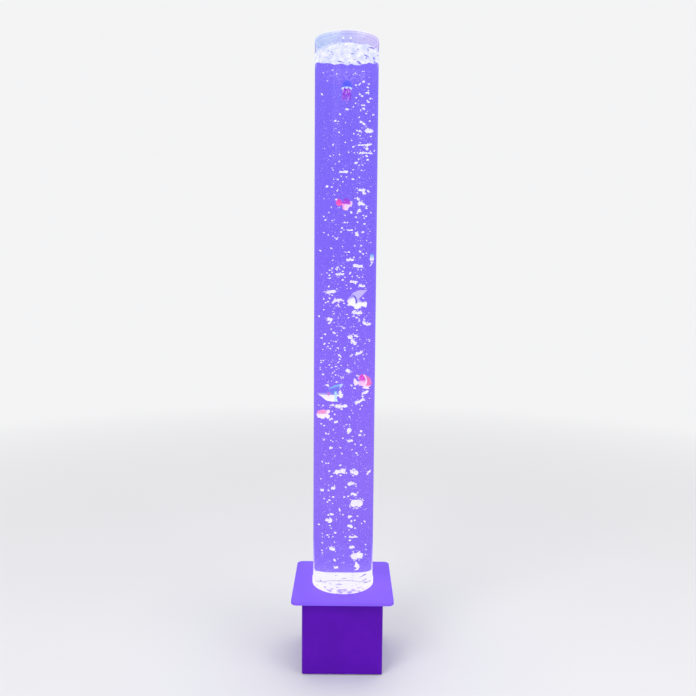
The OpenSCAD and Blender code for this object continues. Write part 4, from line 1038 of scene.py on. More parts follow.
class LAMP_OT_stage(bpy.types.Operator):
    """Camera, floor, backdrop light and lamps of a plain pale studio"""
    bl_idname = "lamp.stage"
    bl_label = "Stage"
    floor_half = 30.0
    # Distances from the lamp between which the floor turns into the backdrop
    fade = (0.5, 3.5)

    def execute(self, context):
        scene = context.scene
        scene.view_settings.view_transform = "Standard"
        data = bpy.data.cameras.new("reference_camera")
        data.sensor_width = SENSOR_MM
        data.lens = FOCAL_PX * SENSOR_MM / FRAME_PX
        data.clip_start = 0.01
        camera = bpy.data.objects.new("reference_camera", data)
        camera.matrix_world = camera_matrix()
        scene.collection.objects.link(camera)
        scene.camera = camera
        self.add_floor(scene)
        self.add_world(scene)
        self.add_light(scene, "key_softbox", (-1.6, -2.2, 2.4), (0, 0, 0.8), 1.6, 38)
        self.add_light(scene, "fill_softbox", (2.0, -1.4, 1.5), (0, 0, 0.7), 1.6, 16)
        self.add_light(scene, "top_softbox", (0.2, 0.6, 3.0), (0, 0, 0.5), 2.0, 22)
        return {"FINISHED"}

    def add_floor(self, scene):
        """A floor that turns into the backdrop's even colour with distance, as the lens sees it."""
        bm = bmesh.new()
        bmesh.ops.create_grid(bm, x_segments=1, y_segments=1, size=self.floor_half)
        mesh = bpy.data.meshes.new("floor")
        bm.to_mesh(mesh)
        bm.free()
        floor = bpy.data.objects.new("floor", mesh)
        material, tree = new_material("pale_floor")
        shader = put(tree, "BsdfPrincipled", {"Roughness": 0.9, "Specular IOR Level": 0.1})
        patches = clouds(tree, place_on_object(tree), 0.8, 2.0)
        tone = blend_colours(tree, patches, (0.80, 0.80, 0.81), (0.83, 0.83, 0.84))
        join(tree, tone, shader.inputs["Base Color"])
        far = put(tree, "VectorMath", operation="LENGTH")
        join(tree, place_on_object(tree), far.inputs[0])
        faded = both(tree, remap(tree, far.outputs["Value"], *self.fade), seen_rays(tree))
        glow = put(tree, "Emission", {"Color": rgba(BACKDROP), "Strength": 1.0})
        output(tree, mixed_shaders(tree, faded, shader.outputs["BSDF"], glow.outputs["Emission"]))
        mesh.materials.append(material)
        scene.collection.objects.link(floor)

    def add_world(self, scene):
        """Soft light all round, and the backdrop's colour where it is seen."""
        world = bpy.data.worlds.new("pale_studio")
        scene.world = world
        world.use_nodes = True
        tree = world.node_tree
        tree.nodes.clear()
        light = put(tree, "Background", {"Color": (0.97, 0.97, 1.0, 1.0), "Strength": 0.62})
        backdrop = put(tree, "Background", {"Color": rgba(BACKDROP), "Strength": 1.0})
        sky = mixed_shaders(tree, seen_rays(tree), light.outputs["Background"],
                            backdrop.outputs["Background"])
        join(tree, sky, put(tree, "OutputWorld").inputs["Surface"])

    def add_light(self, scene, name, place, target, size, power):
        """A square lamp of this size in metres and power in watts, aimed at a target."""
        data = bpy.data.lights.new(name, "AREA")
        data.shape = "SQUARE"
        data.size = size
        data.energy = power
        light = bpy.data.objects.new(name, data)
        aim = (Vector(place) - Vector(target)).to_track_quat("Z", "Y").to_matrix().to_4x4()
        light.matrix_world = Matrix.Translation(place) @ aim
        scene.collection.objects.link(light)


class LAMP_OT_finishes(bpy.types.Operator):
    """Finishes of the pieces whose shape comes straight from the frame"""
    bl_idname = "lamp.finishes"
    bl_label = "Finishes"

    def execute(self, context):
        paint = context.scene.lamp_paint
        finishes = self.slot_finishes(tuple(paint.housing), tuple(paint.plate))
        for part in frame["record"]["subparts"]:
            node = frame["nodes"][part["node"]]
            finish = finishes.get(part["material_slot"])
            if finish is None:
                raise RuntimeError("no finish for the slot " + part["material_slot"])
            dress(node, finish)
        return {"FINISHED"}

    def slot_finishes(self, housing, plate):
        """The finish for each of the record's material slots."""
        def solid(name, first, second, rough, patch, grain, depth, **more):
            return solid_finish(name, (first, second), rough, patch * MM, grain * MM, depth * MM, **more)
        deep = tuple(0.86 * c for c in housing)
        return {
            "clear_acrylic": foot_finish("lit_acrylic", 0.36),
            "base_paint": paint_finish("satin_housing", deep, housing),
            # The plate: the housing's paint, lighter with painted light from the tube's glow
            "plate_paint": paint_finish("satin_plate_painted_glow", tuple(0.92 * c for c in plate), plate),
            "dark_moulding": solid("dark_moulding", (0.016, 0.016, 0.019), (0.028, 0.028, 0.032), (0.45, 0.6),
                                   30, 0.5, 0.03),
            "black_rubber": solid("black_rubber", (0.02, 0.02, 0.02), (0.035, 0.034, 0.034), (0.7, 0.9),
                                  8, 0.35, 0.03, shine=0.3),
            "clear_silicone": solid("clear_silicone", (0.62, 0.64, 0.67), (0.72, 0.74, 0.77), (0.25, 0.4),
                                    12, 0.8, 0.02),
            "screw_steel": solid("screw_steel", (0.5, 0.5, 0.52), (0.66, 0.66, 0.68), (0.2, 0.34),
                                 3, 0.25, 0.01, metallic=1.0, stretch=(1, 1, 4)),
            "core_steel": banded_finish("core_laminations", ((0.16, 0.165, 0.18), (0.34, 0.345, 0.36)),
                                        "Z", 0.5 * MM, 0.4, 0.04 * MM),
            "coil_copper": banded_finish("wound_copper", ((0.42, 0.14, 0.05), (0.83, 0.37, 0.17)),
                                         "X", 0.45 * MM, 0.28, 0.1 * MM),
            "white_nylon": solid("white_nylon", (0.74, 0.74, 0.7), (0.82, 0.82, 0.78), (0.35, 0.5),
                                 15, 0.5, 0.02),
            "magnet_grey": solid("sintered_magnet", (0.06, 0.06, 0.065), (0.11, 0.11, 0.115), (0.35, 0.6),
                                 4, 0.3, 0.04, metallic=0.5),
            "circuit_board": circuit_finish("solder_mask"),
            "led_lens": diode_finish("lit_phosphor"),
            "board_components": solid("component_casing", (0.02, 0.02, 0.023), (0.04, 0.04, 0.045),
                                      (0.3, 0.5), 5, 0.3, 0.02),
            "button_plastic": solid("button_plastic", (0.42, 0.37, 0.52), (0.52, 0.47, 0.62), (0.3, 0.42),
                                    6, 0.3, 0.015),
            "valve_blue": solid("valve_blue", (0.15, 0.38, 0.7), (0.25, 0.5, 0.82), (0.2, 0.32),
                                8, 0.5, 0.015),
            "valve_white": solid("valve_white", (0.76, 0.76, 0.77), (0.86, 0.86, 0.86), (0.2, 0.32),
                                 8, 0.5, 0.015),
            "lead_sheath": solid("lead_sheath", (0.02, 0.02, 0.022), (0.035, 0.035, 0.04), (0.5, 0.65),
                                 6, 0.4, 0.02),
            "jelly_blue": lit_plain("jelly_dome", linear(30, 60, 225), linear(55, 110, 245), 6 * MM),
            "jelly_pink": lit_plain("jelly_strands", linear(190, 20, 215), linear(225, 90, 235), 4 * MM),
            "fish_red": lit_plain("red_scales", linear(225, 40, 90), linear(240, 80, 140), 5 * MM),
            "fish_cyan": lit_plain("cyan_scales", linear(70, 150, 250), linear(130, 215, 250), 5 * MM),
            "fish_white": lit_plain("white_scales", linear(235, 230, 255), linear(250, 248, 255), 5 * MM),
            "fish_hot_pink": lit_plain("coral_scales", linear(240, 100, 150), linear(235, 50, 150), 6 * MM),
            "fish_blue": lit_plain("blue_scales", linear(60, 120, 250), linear(120, 190, 250), 6 * MM),
            "fish_pale_pink": lit_plain("pink_scales", linear(250, 120, 175), linear(250, 190, 225), 5 * MM),
        }


class LAMP_OT_diaphragm(bpy.types.Operator):
    """The air pump's rubber cup, between its clamped flange and the swinging arm, as a smooth piece on no body"""
    bl_idname = "lamp.diaphragm"
    bl_label = "Diaphragm"
    # Thickness of the clamped flange, and of the face at the arm
    flange = 2 * MM
    face = 2.5 * MM

    def execute(self, context):
        node = frame["nodes"]["diaphragm"]
        bm = bmesh.new()
        bm.from_mesh(node.data)
        bmesh.ops.remove_doubles(bm, verts=bm.verts, dist=1e-6)
        cup = add_piece("diaphragm_cup", bm, None, [node.data.materials[0]], ["diaphragm"])
        sharp_by_angle(cup, 30)
        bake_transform(cup)
        return {"FINISHED"}


class LAMP_OT_tube(bpy.types.Operator):
    """The clear tube and the foot collar, turned smoothly, and the lid's finish"""
    bl_idname = "lamp.tube"
    bl_label = "Tube and lid"
    steps = 96
    tube_edge = 0.4 * MM
    collar_gap = 0.1 * MM

    def execute(self, context):
        water = context.scene.lamp_water
        inner = TUBE_R - water.wall
        edge = self.tube_edge
        low, high = TUBE_LOW.z, TUBE_HIGH.z
        wall = [(inner + edge, low), (TUBE_R - edge, low), (TUBE_R, low + edge), (TUBE_R, high - edge),
                (TUBE_R - edge, high), (inner + edge, high), (inner, high - edge), (inner, low + edge)]
        tube = add_piece("clear_tube", lathe(wall, self.steps, closed=True), STAND,
                         [tube_finish("tube_acrylic", water)], ["acrylic_tube"])
        sharp_by_angle(tube, 30)
        bore = TUBE_R + self.collar_gap
        low, high, outer = COLLAR_LOW.z, COLLAR_HIGH.z, COLLAR_HIGH.x
        ring = [(bore, low), (outer, low), (outer, high - 1.0 * MM), (outer - 0.4 * MM, high - 0.3 * MM),
                (outer - 1.0 * MM, high), (bore, high)]
        collar = add_piece("lit_collar", lathe(ring, self.steps, closed=True), STAND,
                           [foot_finish("lit_collar", 0.28, 0.24)], ["foot_collar"])
        sharp_by_angle(collar, 40)
        dress(frame["nodes"]["lid"], lid_finish("lit_lid"))
        return {"FINISHED"}


class LAMP_OT_water(bpy.types.Operator):
    """The lit water"""
    bl_idname = "lamp.water"
    bl_label = "Water"
    steps = 96
    # Chamfers at the foot and at the surface, and the gap over the tube's clear disc
    edge = 1 * MM
    shoulder = 1.5 * MM
    foot_gap = 0.1 * MM

    def execute(self, context):
        settings = context.scene.lamp_water
        radius = TUBE_R - settings.wall - settings.gap
        foot = DISC_HIGH.z + self.foot_gap
        top = TUBE_HIGH.z - settings.surface
        profile = [(0, foot), (radius - self.edge, foot), (radius, foot + self.edge),
                   (radius, top - self.shoulder), (radius - self.shoulder, top), (0, top)]
        water = add_piece("water", lathe(profile, self.steps), STAND, [water_finish("clear_water", foot)])
        sharp_by_angle(water, 30)
        return {"FINISHED"}


class LAMP_OT_foam(bpy.types.Operator):
    """The crown of foam on the water: a lumpy body with bubbles all over it"""
    bl_idname = "lamp.foam"
    bl_label = "Foam"
    seed = 5
    wall_room = 0.3 * MM
    wall_bubbles = 500
    top_bubbles = 420
    # Height of the lumps on the foam's body
    swell = 1.6 * MM

    def execute(self, context):
        settings = context.scene.lamp_water
        rng = random.Random(self.seed)
        floats = float_boxes()
        bore = TUBE_R - settings.wall - self.wall_room
        top = TUBE_HIGH.z - settings.foam_top
        bottom = TUBE_HIGH.z - settings.foam_bottom
        froth = Froth(8, 5)
        for _ in range(self.wall_bubbles):
            angle = rng.uniform(0, math.tau)
            size = rng.uniform(1.3, 3.4) * MM
            low = self.lower_edge(angle, bottom, settings.foam_dip)
            height = rng.uniform(low, top - 1 * MM)
            place = Vector(((bore - size) * math.cos(angle), (bore - size) * math.sin(angle), height))
            if not in_a_lane(place, size, floats):
                self.lump(froth, place, size, rng)
        for _ in range(self.top_bubbles):
            angle = rng.uniform(0, math.tau)
            size = rng.uniform(1.6, 4.2) * MM
            radius = (bore - size - 1 * MM) * math.sqrt(rng.random())
            height = top + rng.uniform(-3, 0.5) * MM
            place = Vector((radius * math.cos(angle), radius * math.sin(angle), height))
            self.lump(froth, place, size, rng)
        finish = foam_finish("white_foam", bottom)
        add_piece("foam_core", self.core(bore - 2.5 * MM, bottom - 2 * MM, top), STAND, [finish])
        add_piece("foam_bubbles", froth.whole(), STAND, [finish])
        return {"FINISHED"}

    def lower_edge(self, angle, bottom, dip):
        """The foam hangs lower at the front and back, in ragged lobes."""
        lobes = noise.noise(Vector((3 * math.cos(angle), 3 * math.sin(angle), 0.7)))
        return bottom - dip * math.sin(angle) ** 2 + 3 * MM * lobes

    def core(self, radius, bottom, top):
        """The foam's body, from its hollow underside to its nearly flat top, with swells all over it."""
        rings = 5
        profile = [(0, bottom + 2 * MM), (radius * 0.55, bottom + 2 * MM), (radius - 3 * MM, bottom + 1 * MM)]
        profile += [(radius, bottom + (top - bottom) * (0.1 + 0.8 * i / rings)) for i in range(rings + 1)]
        profile += [(radius - 3 * MM, top - 1 * MM), (radius * 0.6, top - 1.5 * MM), (0, top - 1 * MM)]
        bm = lathe(profile, 64)
        for vert in bm.verts:
            swell = noise.noise(vert.co * 90) * self.swell
            out = Vector((vert.co.x, vert.co.y, 0))
            if out.length > 1e-4:
                vert.co += out.normalized() * swell
            vert.co.z += noise.noise(vert.co * 70 + Vector((5, 2, 1))) * self.swell
        return bm

    def lump(self, froth, place, size, rng):
        """Adds one bubble, a little uneven."""
        turn = Matrix.Rotation(rng.uniform(0, math.pi), 4, "Z")
        sizes = (size * rng.uniform(0.9, 1.15), size * rng.uniform(0.9, 1.1), size * rng.uniform(0.7, 1.0))
        froth.add(place, sizes, turn)


# Larger clusters of bubbles in the reference view: centre in pixels, width, height, and tilt in degrees,
# which is positive where the right end is lower
CLUSTERS = (
    (369, 131, 8, 5, 5), (366, 145, 20, 2, 0), (371, 149, 13, 4, 5), (367, 153, 18, 2, 0),
    (373, 155, 9, 5, 0), (344, 172, 9, 3, 0), (362, 190, 8, 3, 0), (371, 188, 4, 4, 0), (361, 204, 6, 5, 0),
    (320, 212, 8, 3, 0), (374, 219, 5, 4, 0), (373, 229, 6, 4, 0), (357, 234, 3, 5, 0), (350, 230, 7, 2, 0),
    (350, 260, 8, 3, 0), (358, 266, 11, 4, 10), (340, 274, 10, 3, -5), (354, 282, 9, 3, 5),
    (362, 286, 7, 3, 10), (331, 292, 11, 6, 0), (338, 300, 10, 4, 0), (357, 313, 11, 5, 5),
    (330, 319, 6, 6, 20), (367, 324, 9, 4, 5), (350, 337, 5, 5, 0), (356, 336, 5, 3, 0),
    (354, 342, 7, 5, 30), (359, 353, 8, 4, -20), (344, 371, 15, 7, 5), (365, 392, 8, 4, -30),
    (360, 401, 12, 4, -25), (341, 406, 15, 5, 0), (336, 422, 4, 3, 10), (331, 419, 4, 3, 0),
    (348, 429, 9, 9, 30), (361, 431, 3, 3, 0), (350, 441, 6, 4, 0), (331, 448, 4, 3, 0),
    (340, 472, 12, 6, -15), (354, 472, 9, 6, 5), (368, 473, 9, 3, -45), (351, 484, 7, 5, 0),
    (333, 488, 4, 4, 20), (322, 490, 4, 4, 0), (354, 494, 7, 4, 5), (357, 503, 14, 12, 0),
    (329, 520, 8, 6, 20), (332, 514, 4, 3, 0), (350, 517, 4, 4, 0), (350, 526, 6, 4, 0),
    (353, 537, 10, 3, 0), (332, 549, 7, 4, 20), (352, 547, 6, 4, 0), (357, 556, 13, 10, 0),
    (357, 566, 5, 8, 10), (336, 567, 5, 4, 0),
)


class LAMP_OT_bubbles(bpy.types.Operator):
    """Rising bubbles: clusters, large and small bubbles, and fine specks"""
    bl_idname = "lamp.bubbles"
    bl_label = "Bubbles"
    # Room left at the tube's wall, over the lit band and under the foam
    wall_room = 1.2 * MM
    foot_room = 4 * MM
    foam_room = 6 * MM
    # Room that a cluster's own depth takes at the wall, and how much nearer its bubbles may come
    cluster_room = 6 * MM
    lobe_reach = 0.9 * MM

    def execute(self, context):
        settings = context.scene.lamp_bubbles
        water = context.scene.lamp_water
        self.bore = TUBE_R - water.wall - self.wall_room
        self.low = PLATE_HIGH.z + water.band_top + self.foot_room
        self.high = TUBE_HIGH.z - water.foam_bottom - self.foam_room
        self.floats = float_boxes()
        self.rng = random.Random(settings.seed)
        self.finish = lit_plain("lit_bubbles", linear(252, 250, 255), linear(238, 230, 255), 7 * MM,
                                roughness=0.15)
        self.add_clusters()
        self.add_loose("large_bubbles", settings.large, settings.large_r, 0.35, 8, 6)
        self.add_loose("small_bubbles", settings.small, settings.small_r, 0.45, 8, 5)
        self.add_loose("fine_bubbles", settings.specks, settings.speck_r, 0.3, 6, 4)
        return {"FINISHED"}

    def tilt(self, degrees):
        """A lean in the picture's plane, with a small spin about the upright."""
        spin = Matrix.Rotation(self.rng.uniform(-0.4, 0.4), 4, "Z")
        return spin @ Matrix.Rotation(math.radians(degrees), 4, "Y")

    def add_clusters(self):
        """The larger clusters, most near the front wall and every third near the back wall."""
        froth = Froth(10, 7)
        metres_per_px = -CAMERA_PLACE.y / FOCAL_PX
        for number, (px, py, width, height, tilt) in enumerate(CLUSTERS):
            across = seen_at(px, py, 0).x
            depth = -math.sqrt(max(0.0, (self.bore - self.cluster_room) ** 2 - across ** 2)) * 0.94
            if number % 3 == 1:
                depth = -depth
            centre = seen_at(px, py, depth)
            half = Vector((width, 0, height)) * metres_per_px * 0.5
            lean = Matrix.Rotation(math.radians(tilt), 4, "Y")
            for local, sizes in self.cores(half, max(2, round(1.3 * width / height))):
                self.add_lobe(froth, centre + lean @ local, sizes, tilt)
            for _ in range(round(width * height / 8)):
                angle = self.rng.uniform(0, math.tau)
                reach = self.rng.uniform(0.75, 1.15)
                local = Vector((reach * half.x * math.cos(angle), self.rng.uniform(-1.5, 1.5) * MM,
                                reach * half.z * math.sin(angle)))
                size = self.rng.uniform(0.6, 1.5) * MM
                self.add_lobe(froth, centre + lean @ local, (1.4 * size, size, 0.8 * size), tilt)
        add_piece("bubble_clusters", froth.whole(), STAND, [self.finish])

    def cores(self, half, count):
        """The long bubbles that make up a cluster's middle, as (place, half axes)."""
        for i in range(count):
            along = (2 * i + 1) / count - 1
            place = Vector((along * 0.8 * half.x, self.rng.uniform(-1, 1) * MM,
                            self.rng.uniform(-0.3, 0.3) * half.z))
            tall = half.z * self.rng.uniform(0.5, 0.85)
            yield place, (half.x / count * self.rng.uniform(0.9, 1.35), min(tall, 3.5 * MM), tall)

    def add_lobe(self, froth, place, sizes, tilt):
        """A bubble of a cluster, moved in from the wall if need be, and left out of the floats' lanes."""
        away = math.hypot(place.x, place.y)
        room = self.bore + self.lobe_reach - max(sizes[:2])
        if away > room:
            place = Vector((place.x * room / away, place.y * room / away, place.z))
        if not in_a_lane(place, max(sizes), self.floats):
            froth.add(place, sizes, self.tilt(tilt + self.rng.uniform(-15, 15)))

    def crowding(self, place):
        """Share of bubbles kept: more to the right near the top, and few in the lower third."""
        rise = (place.z - self.low) / (self.high - self.low)
        right = 0.5 + 0.5 * place.x / self.bore
        if rise > 0.86:
            return 0.12 + 0.88 * right ** 1.6
        if rise > 0.62:
            return 0.3 + 0.5 * right
        if rise > 0.36:
            return 0.9
        return 0.42

    def add_loose(self, name, count, radius, spread, sides, rings):
        """Bubbles strewn through the water, of a radius and its spread as a share."""
        froth = Froth(sides, rings)
        made = 0
        for _ in range(count * 30):
            if made == count:
                break
            angle = self.rng.uniform(0, math.tau)
            reach = (self.bore - 2 * radius) * math.sqrt(self.rng.uniform(0.05, 1.0))
            height = self.rng.uniform(self.low, self.high)
            place = Vector((reach * math.cos(angle), reach * math.sin(angle), height))
            size = radius * self.rng.uniform(1 - spread, 1 + spread)
            stretch = self.rng.uniform(1.0, 1.7)
            lean = self.rng.gauss(10, 22)
            if self.rng.random() > self.crowding(place) or in_a_lane(place, size * stretch, self.floats):
                continue
            if hides_a_float(place, size, self.floats):
                continue
            froth.add(place, (size * stretch, size, size * 0.85), self.tilt(lean))
            made += 1
        add_piece(name, froth.whole(), STAND, [self.finish])


class LAMP_OT_fish(bpy.types.Operator):
    """The six fish that drift in the water"""
    bl_idname = "lamp.fish"
    bl_label = "Fish"

    def execute(self, context):
        self.white = lit_plain("eye_white", linear(252, 248, 255), linear(240, 232, 255), 1 * MM)
        self.pupil = solid_finish("eye_pupil", ((0.01, 0.01, 0.02), (0.02, 0.02, 0.04)), (0.1, 0.2),
                                  1 * MM, 0.2 * MM, 0.01 * MM)
        self.red_fish()
        self.striped_fish()
        self.banded_fish()
        self.blue_fish()
        self.pink_fish()
        self.cyan_fish()
        return {"FINISHED"}

    def finish_fish(self, fish, name, slot, paint, turn=0):
        """Turns a fish about its middle and makes it a piece. Its nose is to the left before it is turned."""
        node = name + "_fish"
        low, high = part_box(node)
        if turn:
            bmesh.ops.rotate(fish.bm, verts=fish.bm.verts, cent=(low + high) / 2,
                             matrix=Matrix.Rotation(math.radians(turn), 3, "Z"))
        skin = fish_finish(node + "_skin", low, high, paint, "Y" if turn == 90 else "X")
        add_piece(node + "_form", fish.bm, name + "_float", [skin, self.white, self.pupil], [node])

    def red_fish(self):
        fish = Fish(*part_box("red_fish"))
        fish.body(0.05, 0.85, ((0.0, 0.60, 0.1, 0.2), (0.16, 0.61, 0.25, 0.44), (0.32, 0.60, 0.23, 0.42),
                               (0.46, 0.55, 0.13, 0.28), (0.62, 0.43, 0.2, 0.38), (0.8, 0.33, 0.22, 0.36),
                               (1.0, 0.42, 0.09, 0.12)))
        fish.fin(((0.46, 0.58), (0.6, 0.52), (0.78, 0.44)), ((0.50, 0.86), (0.68, 1.0), (0.9, 0.76)), rays=4,
                 scallop=0.3, thickness=1.4 * MM)
        fish.fin(((0.72, 0.5), (0.76, 0.34)), ((0.95, 0.76), (1.0, 0.56), (0.93, 0.3)), rays=5, scallop=0.14)
        fish.fin(((0.42, 0.34), (0.64, 0.18)), ((0.46, 0.08), (0.6, 0.0), (0.76, 0.08)), rays=4, scallop=0.2)
        fish.side_fins(((0.38, 0.5), (0.42, 0.4)), ((0.52, 0.38), (0.5, 0.2)), lean=0.42, out=0.38)
        fish.eyes(0.16, 0.68, 1.4 * MM, 0.34)

        def paint(tree, along, up):
            belly = split_at(tree, along, 0.52, 0.1, seen(254, 140, 225), seen(255, 222, 252))
            back = split_at(tree, up, 0.68, 0.16, seen(200, 40, 225), seen(165, 0, 220))
            body = split_at(tree, curved(tree, up, along, 0.12, 0.0), 0.56, 0.05, belly, back)
            body = split_at(tree, along, 0.86, 0.05, body, seen(250, 215, 252))
            crown = split_at(tree, up, 0.6, 0.14, seen(255, 100, 165), seen(246, 20, 95))
            return split_at(tree, along, 0.385, 0.035, crown, body)
        self.finish_fish(fish, "red", "fish_red", paint)

    def striped_fish(self):
        fish = Fish(*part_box("striped_fish"))
        fish.body(0.0, 0.8, ((0.0, 0.40, 0.04, 0.1), (0.16, 0.42, 0.21, 0.38), (0.4, 0.45, 0.30, 0.48),
                             (0.62, 0.40, 0.25, 0.40), (0.82, 0.31, 0.15, 0.22), (1.0, 0.25, 0.08, 0.08)))
        fish.fin(((0.10, 0.56), (0.32, 0.72), (0.58, 0.52)), ((0.26, 0.8), (0.56, 0.96), (1.0, 1.0)), rays=10,
                 scallop=0.04)
        fish.fin(((0.72, 0.34), (0.72, 0.18)), ((0.96, 0.42), (1.0, 0.27), (0.95, 0.1)), rays=6)
        fish.fin(((0.3, 0.2), (0.6, 0.2)), ((0.40, 0.02), (0.52, 0.0), (0.72, 0.1)), rays=5)
        fish.side_fins(((0.36, 0.38), (0.38, 0.26)), ((0.52, 0.32), (0.5, 0.16)), lean=0.4, out=0.4)
        fish.eyes(0.12, 0.46, 1.6 * MM, 0.28)

        def paint(tree, along, up):
            line = curved(tree, along, up, 0.3, 1.3)
            crest = step_at(tree, curved(tree, up, along, -0.18, 0.0), 0.74, 0.05)
            veil = blend_colours(tree, crest, seen(178, 162, 248), seen(226, 214, 255))
            body = split_at(tree, curved(tree, up, along, -0.35, 0.0), 0.48, 0.06, seen(255, 254, 255), veil)
            rear = both(tree, step_at(tree, line, 0.64, 0.03), step_at(tree, up, 0.36, 0.04))
            body = blend_colours(tree, rear, body, seen(204, 190, 252))
            crescent = both(tree, stripe_at(tree, line, 0.60, 0.045, 0.02),
                            stripe_at(tree, up, 0.5, 0.2, 0.05))
            body = blend_colours(tree, crescent, body, seen(104, 80, 226))
            lips = step_at(tree, along, 0.06, 0.03)
            return blend_colours(tree, lips, seen(240, 190, 240), body)
        self.finish_fish(fish, "striped", "fish_white", paint)

    def banded_fish(self):
        fish = Fish(*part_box("banded_fish"))
        fish.body(0.02, 0.8, ((0.0, 0.44, 0.1, 0.2), (0.12, 0.47, 0.3, 0.4), (0.36, 0.5, 0.38, 0.48),
                              (0.6, 0.48, 0.3, 0.38), (0.82, 0.42, 0.16, 0.2), (1.0, 0.4, 0.07, 0.08)))
        fish.fin(((0.22, 0.78), (0.5, 0.78), (0.66, 0.6)), ((0.34, 0.96), (0.56, 1.0), (0.78, 0.74)), rays=8)
        fish.fin(((0.74, 0.48), (0.74, 0.34)), ((0.96, 0.76), (1.0, 0.46), (0.93, 0.2)), rays=6)
        fish.fin(((0.2, 0.16), (0.46, 0.14)), ((0.16, 0.0), (0.32, 0.0), (0.54, 0.06)), rays=5)
        fish.side_fins(((0.3, 0.42), (0.32, 0.3)), ((0.46, 0.4), (0.44, 0.22)), lean=0.4, out=0.4)
        fish.eyes(0.12, 0.58, 1.5 * MM, 0.32)

        def paint(tree, along, up):
            line = curved(tree, along, up, -0.12, 0.8)
            rear = split_at(tree, up, 0.56, 0.1, seen(255, 205, 250), seen(232, 40, 210))
            rear = split_at(tree, along, 0.28, 0.06, seen(252, 236, 255), rear)
            front = split_at(tree, up, 0.22, 0.08, seen(255, 240, 255), seen(248, 120, 190))
            body = split_at(tree, line, 0.66, 0.03, rear, front)
            return blend_colours(tree, stripe_at(tree, line, 0.62, 0.035, 0.02), body, seen(255, 235, 255))
        self.finish_fish(fish, "banded", "fish_hot_pink", paint, turn=180)

    def blue_fish(self):
        fish = Fish(*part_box("blue_fish"))
        fish.body(0.0, 0.82, ((0.0, 0.45, 0.015, 0.05), (0.2, 0.40, 0.10, 0.18), (0.45, 0.28, 0.21, 0.38),
                              (0.68, 0.26, 0.24, 0.46), (0.86, 0.29, 0.20, 0.28), (1.0, 0.38, 0.09, 0.1)))
        fish.fin(((0.34, 0.46), (0.54, 0.47), (0.72, 0.42)),
                 ((0.48, 0.74), (0.66, 0.88), (0.86, 0.96), (1.0, 0.99), (0.86, 0.84)), rays=8, scallop=0.03)
        fish.fin(((0.78, 0.48), (0.8, 0.34)),
                 ((0.92, 0.66), (0.94, 0.46), (1.0, 0.42), (0.99, 0.26), (0.92, 0.18)), rays=7)
        fish.fin(((0.5, 0.1), (0.78, 0.16)), ((0.58, 0.0), (0.68, 0.0), (0.80, 0.0)), rays=5)
        fish.side_fins(((0.44, 0.34), (0.46, 0.24)), ((0.58, 0.32), (0.56, 0.14)), lean=0.4, out=0.4)
        fish.eyes(0.3, 0.4, 1.4 * MM, 0.24)

        def paint(tree, along, up):
            line = curved(tree, up, along, 0.03, 0.0)
            back = blend_colours(tree, stripe_at(tree, line, 0.45, 0.012, 0.01),
                                 seen(146, 128, 240), seen(205, 192, 255))
            back = split_at(tree, along, 0.6, 0.08, back, seen(96, 120, 246))
            body = split_at(tree, line, 0.405, 0.02, seen(255, 250, 255), back)
            rear = stripe_at(tree, along, 0.73, 0.05, 0.04)
            body = blend_colours(tree, rear, body, seen(196, 242, 255))
            edge = curved(tree, up, along, -0.44, 0.0)
            fin = split_at(tree, edge, 0.38, 0.07, seen(98, 124, 240), seen(134, 118, 248))
            fin = split_at(tree, edge, 0.49, 0.02, fin, seen(126, 196, 250))
            fin = split_at(tree, along, 0.88, 0.04, fin, seen(205, 222, 255))
            body = split_at(tree, up, 0.56, 0.03, body, fin)
            tail = both(tree, step_at(tree, along, 0.84, 0.03), remap(tree, up, 0.66, 0.7, 1.0, 0.0))
            body = blend_colours(tree, tail, body, seen(250, 248, 255))
            spot = both(tree, stripe_at(tree, along, 0.455, 0.035, 0.02),
                        stripe_at(tree, up, 0.42, 0.075, 0.04))
            return blend_colours(tree, spot, body, seen(226, 120, 222))
        self.finish_fish(fish, "blue", "fish_blue", paint)

    def pink_fish(self):
        fish = Fish(*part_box("pink_fish"))
        fish.body(0.0, 0.82, ((0.0, 0.5, 0.2, 0.2), (0.12, 0.5, 0.37, 0.42), (0.42, 0.5, 0.42, 0.48),
                              (0.7, 0.5, 0.38, 0.34), (0.9, 0.5, 0.3, 0.18), (1.0, 0.5, 0.16, 0.08)))
        fish.fin(((0.66, 0.8), (0.76, 0.54)), ((0.86, 1.0), (0.99, 0.9), (0.98, 0.66), (0.86, 0.54)), rays=6,
                 thickness=1.0 * MM)
        fish.fin(((0.76, 0.48), (0.66, 0.2)), ((0.86, 0.48), (1.0, 0.34), (0.97, 0.12), (0.84, 0.0)), rays=6,
                 thickness=1.0 * MM)
        fish.fin(((0.2, 0.82), (0.44, 0.86), (0.62, 0.8)), ((0.3, 0.95), (0.5, 1.0), (0.72, 0.93)), rays=6)
        fish.fin(((0.26, 0.16), (0.5, 0.12)), ((0.36, 0.02), (0.5, 0.0), (0.62, 0.03)), rays=5)
        fish.side_fins(((0.32, 0.48), (0.34, 0.34)), ((0.5, 0.44), (0.48, 0.26)), lean=0.4, out=0.4)
        fish.eyes(0.14, 0.6, 1.3 * MM, 0.3)

        def paint(tree, along, up):
            back = split_at(tree, along, 0.72, 0.05, seen(252, 160, 220), seen(255, 232, 250))
            return split_at(tree, up, 0.56, 0.03, seen(255, 246, 255), back)
        self.finish_fish(fish, "pink", "fish_pale_pink", paint)

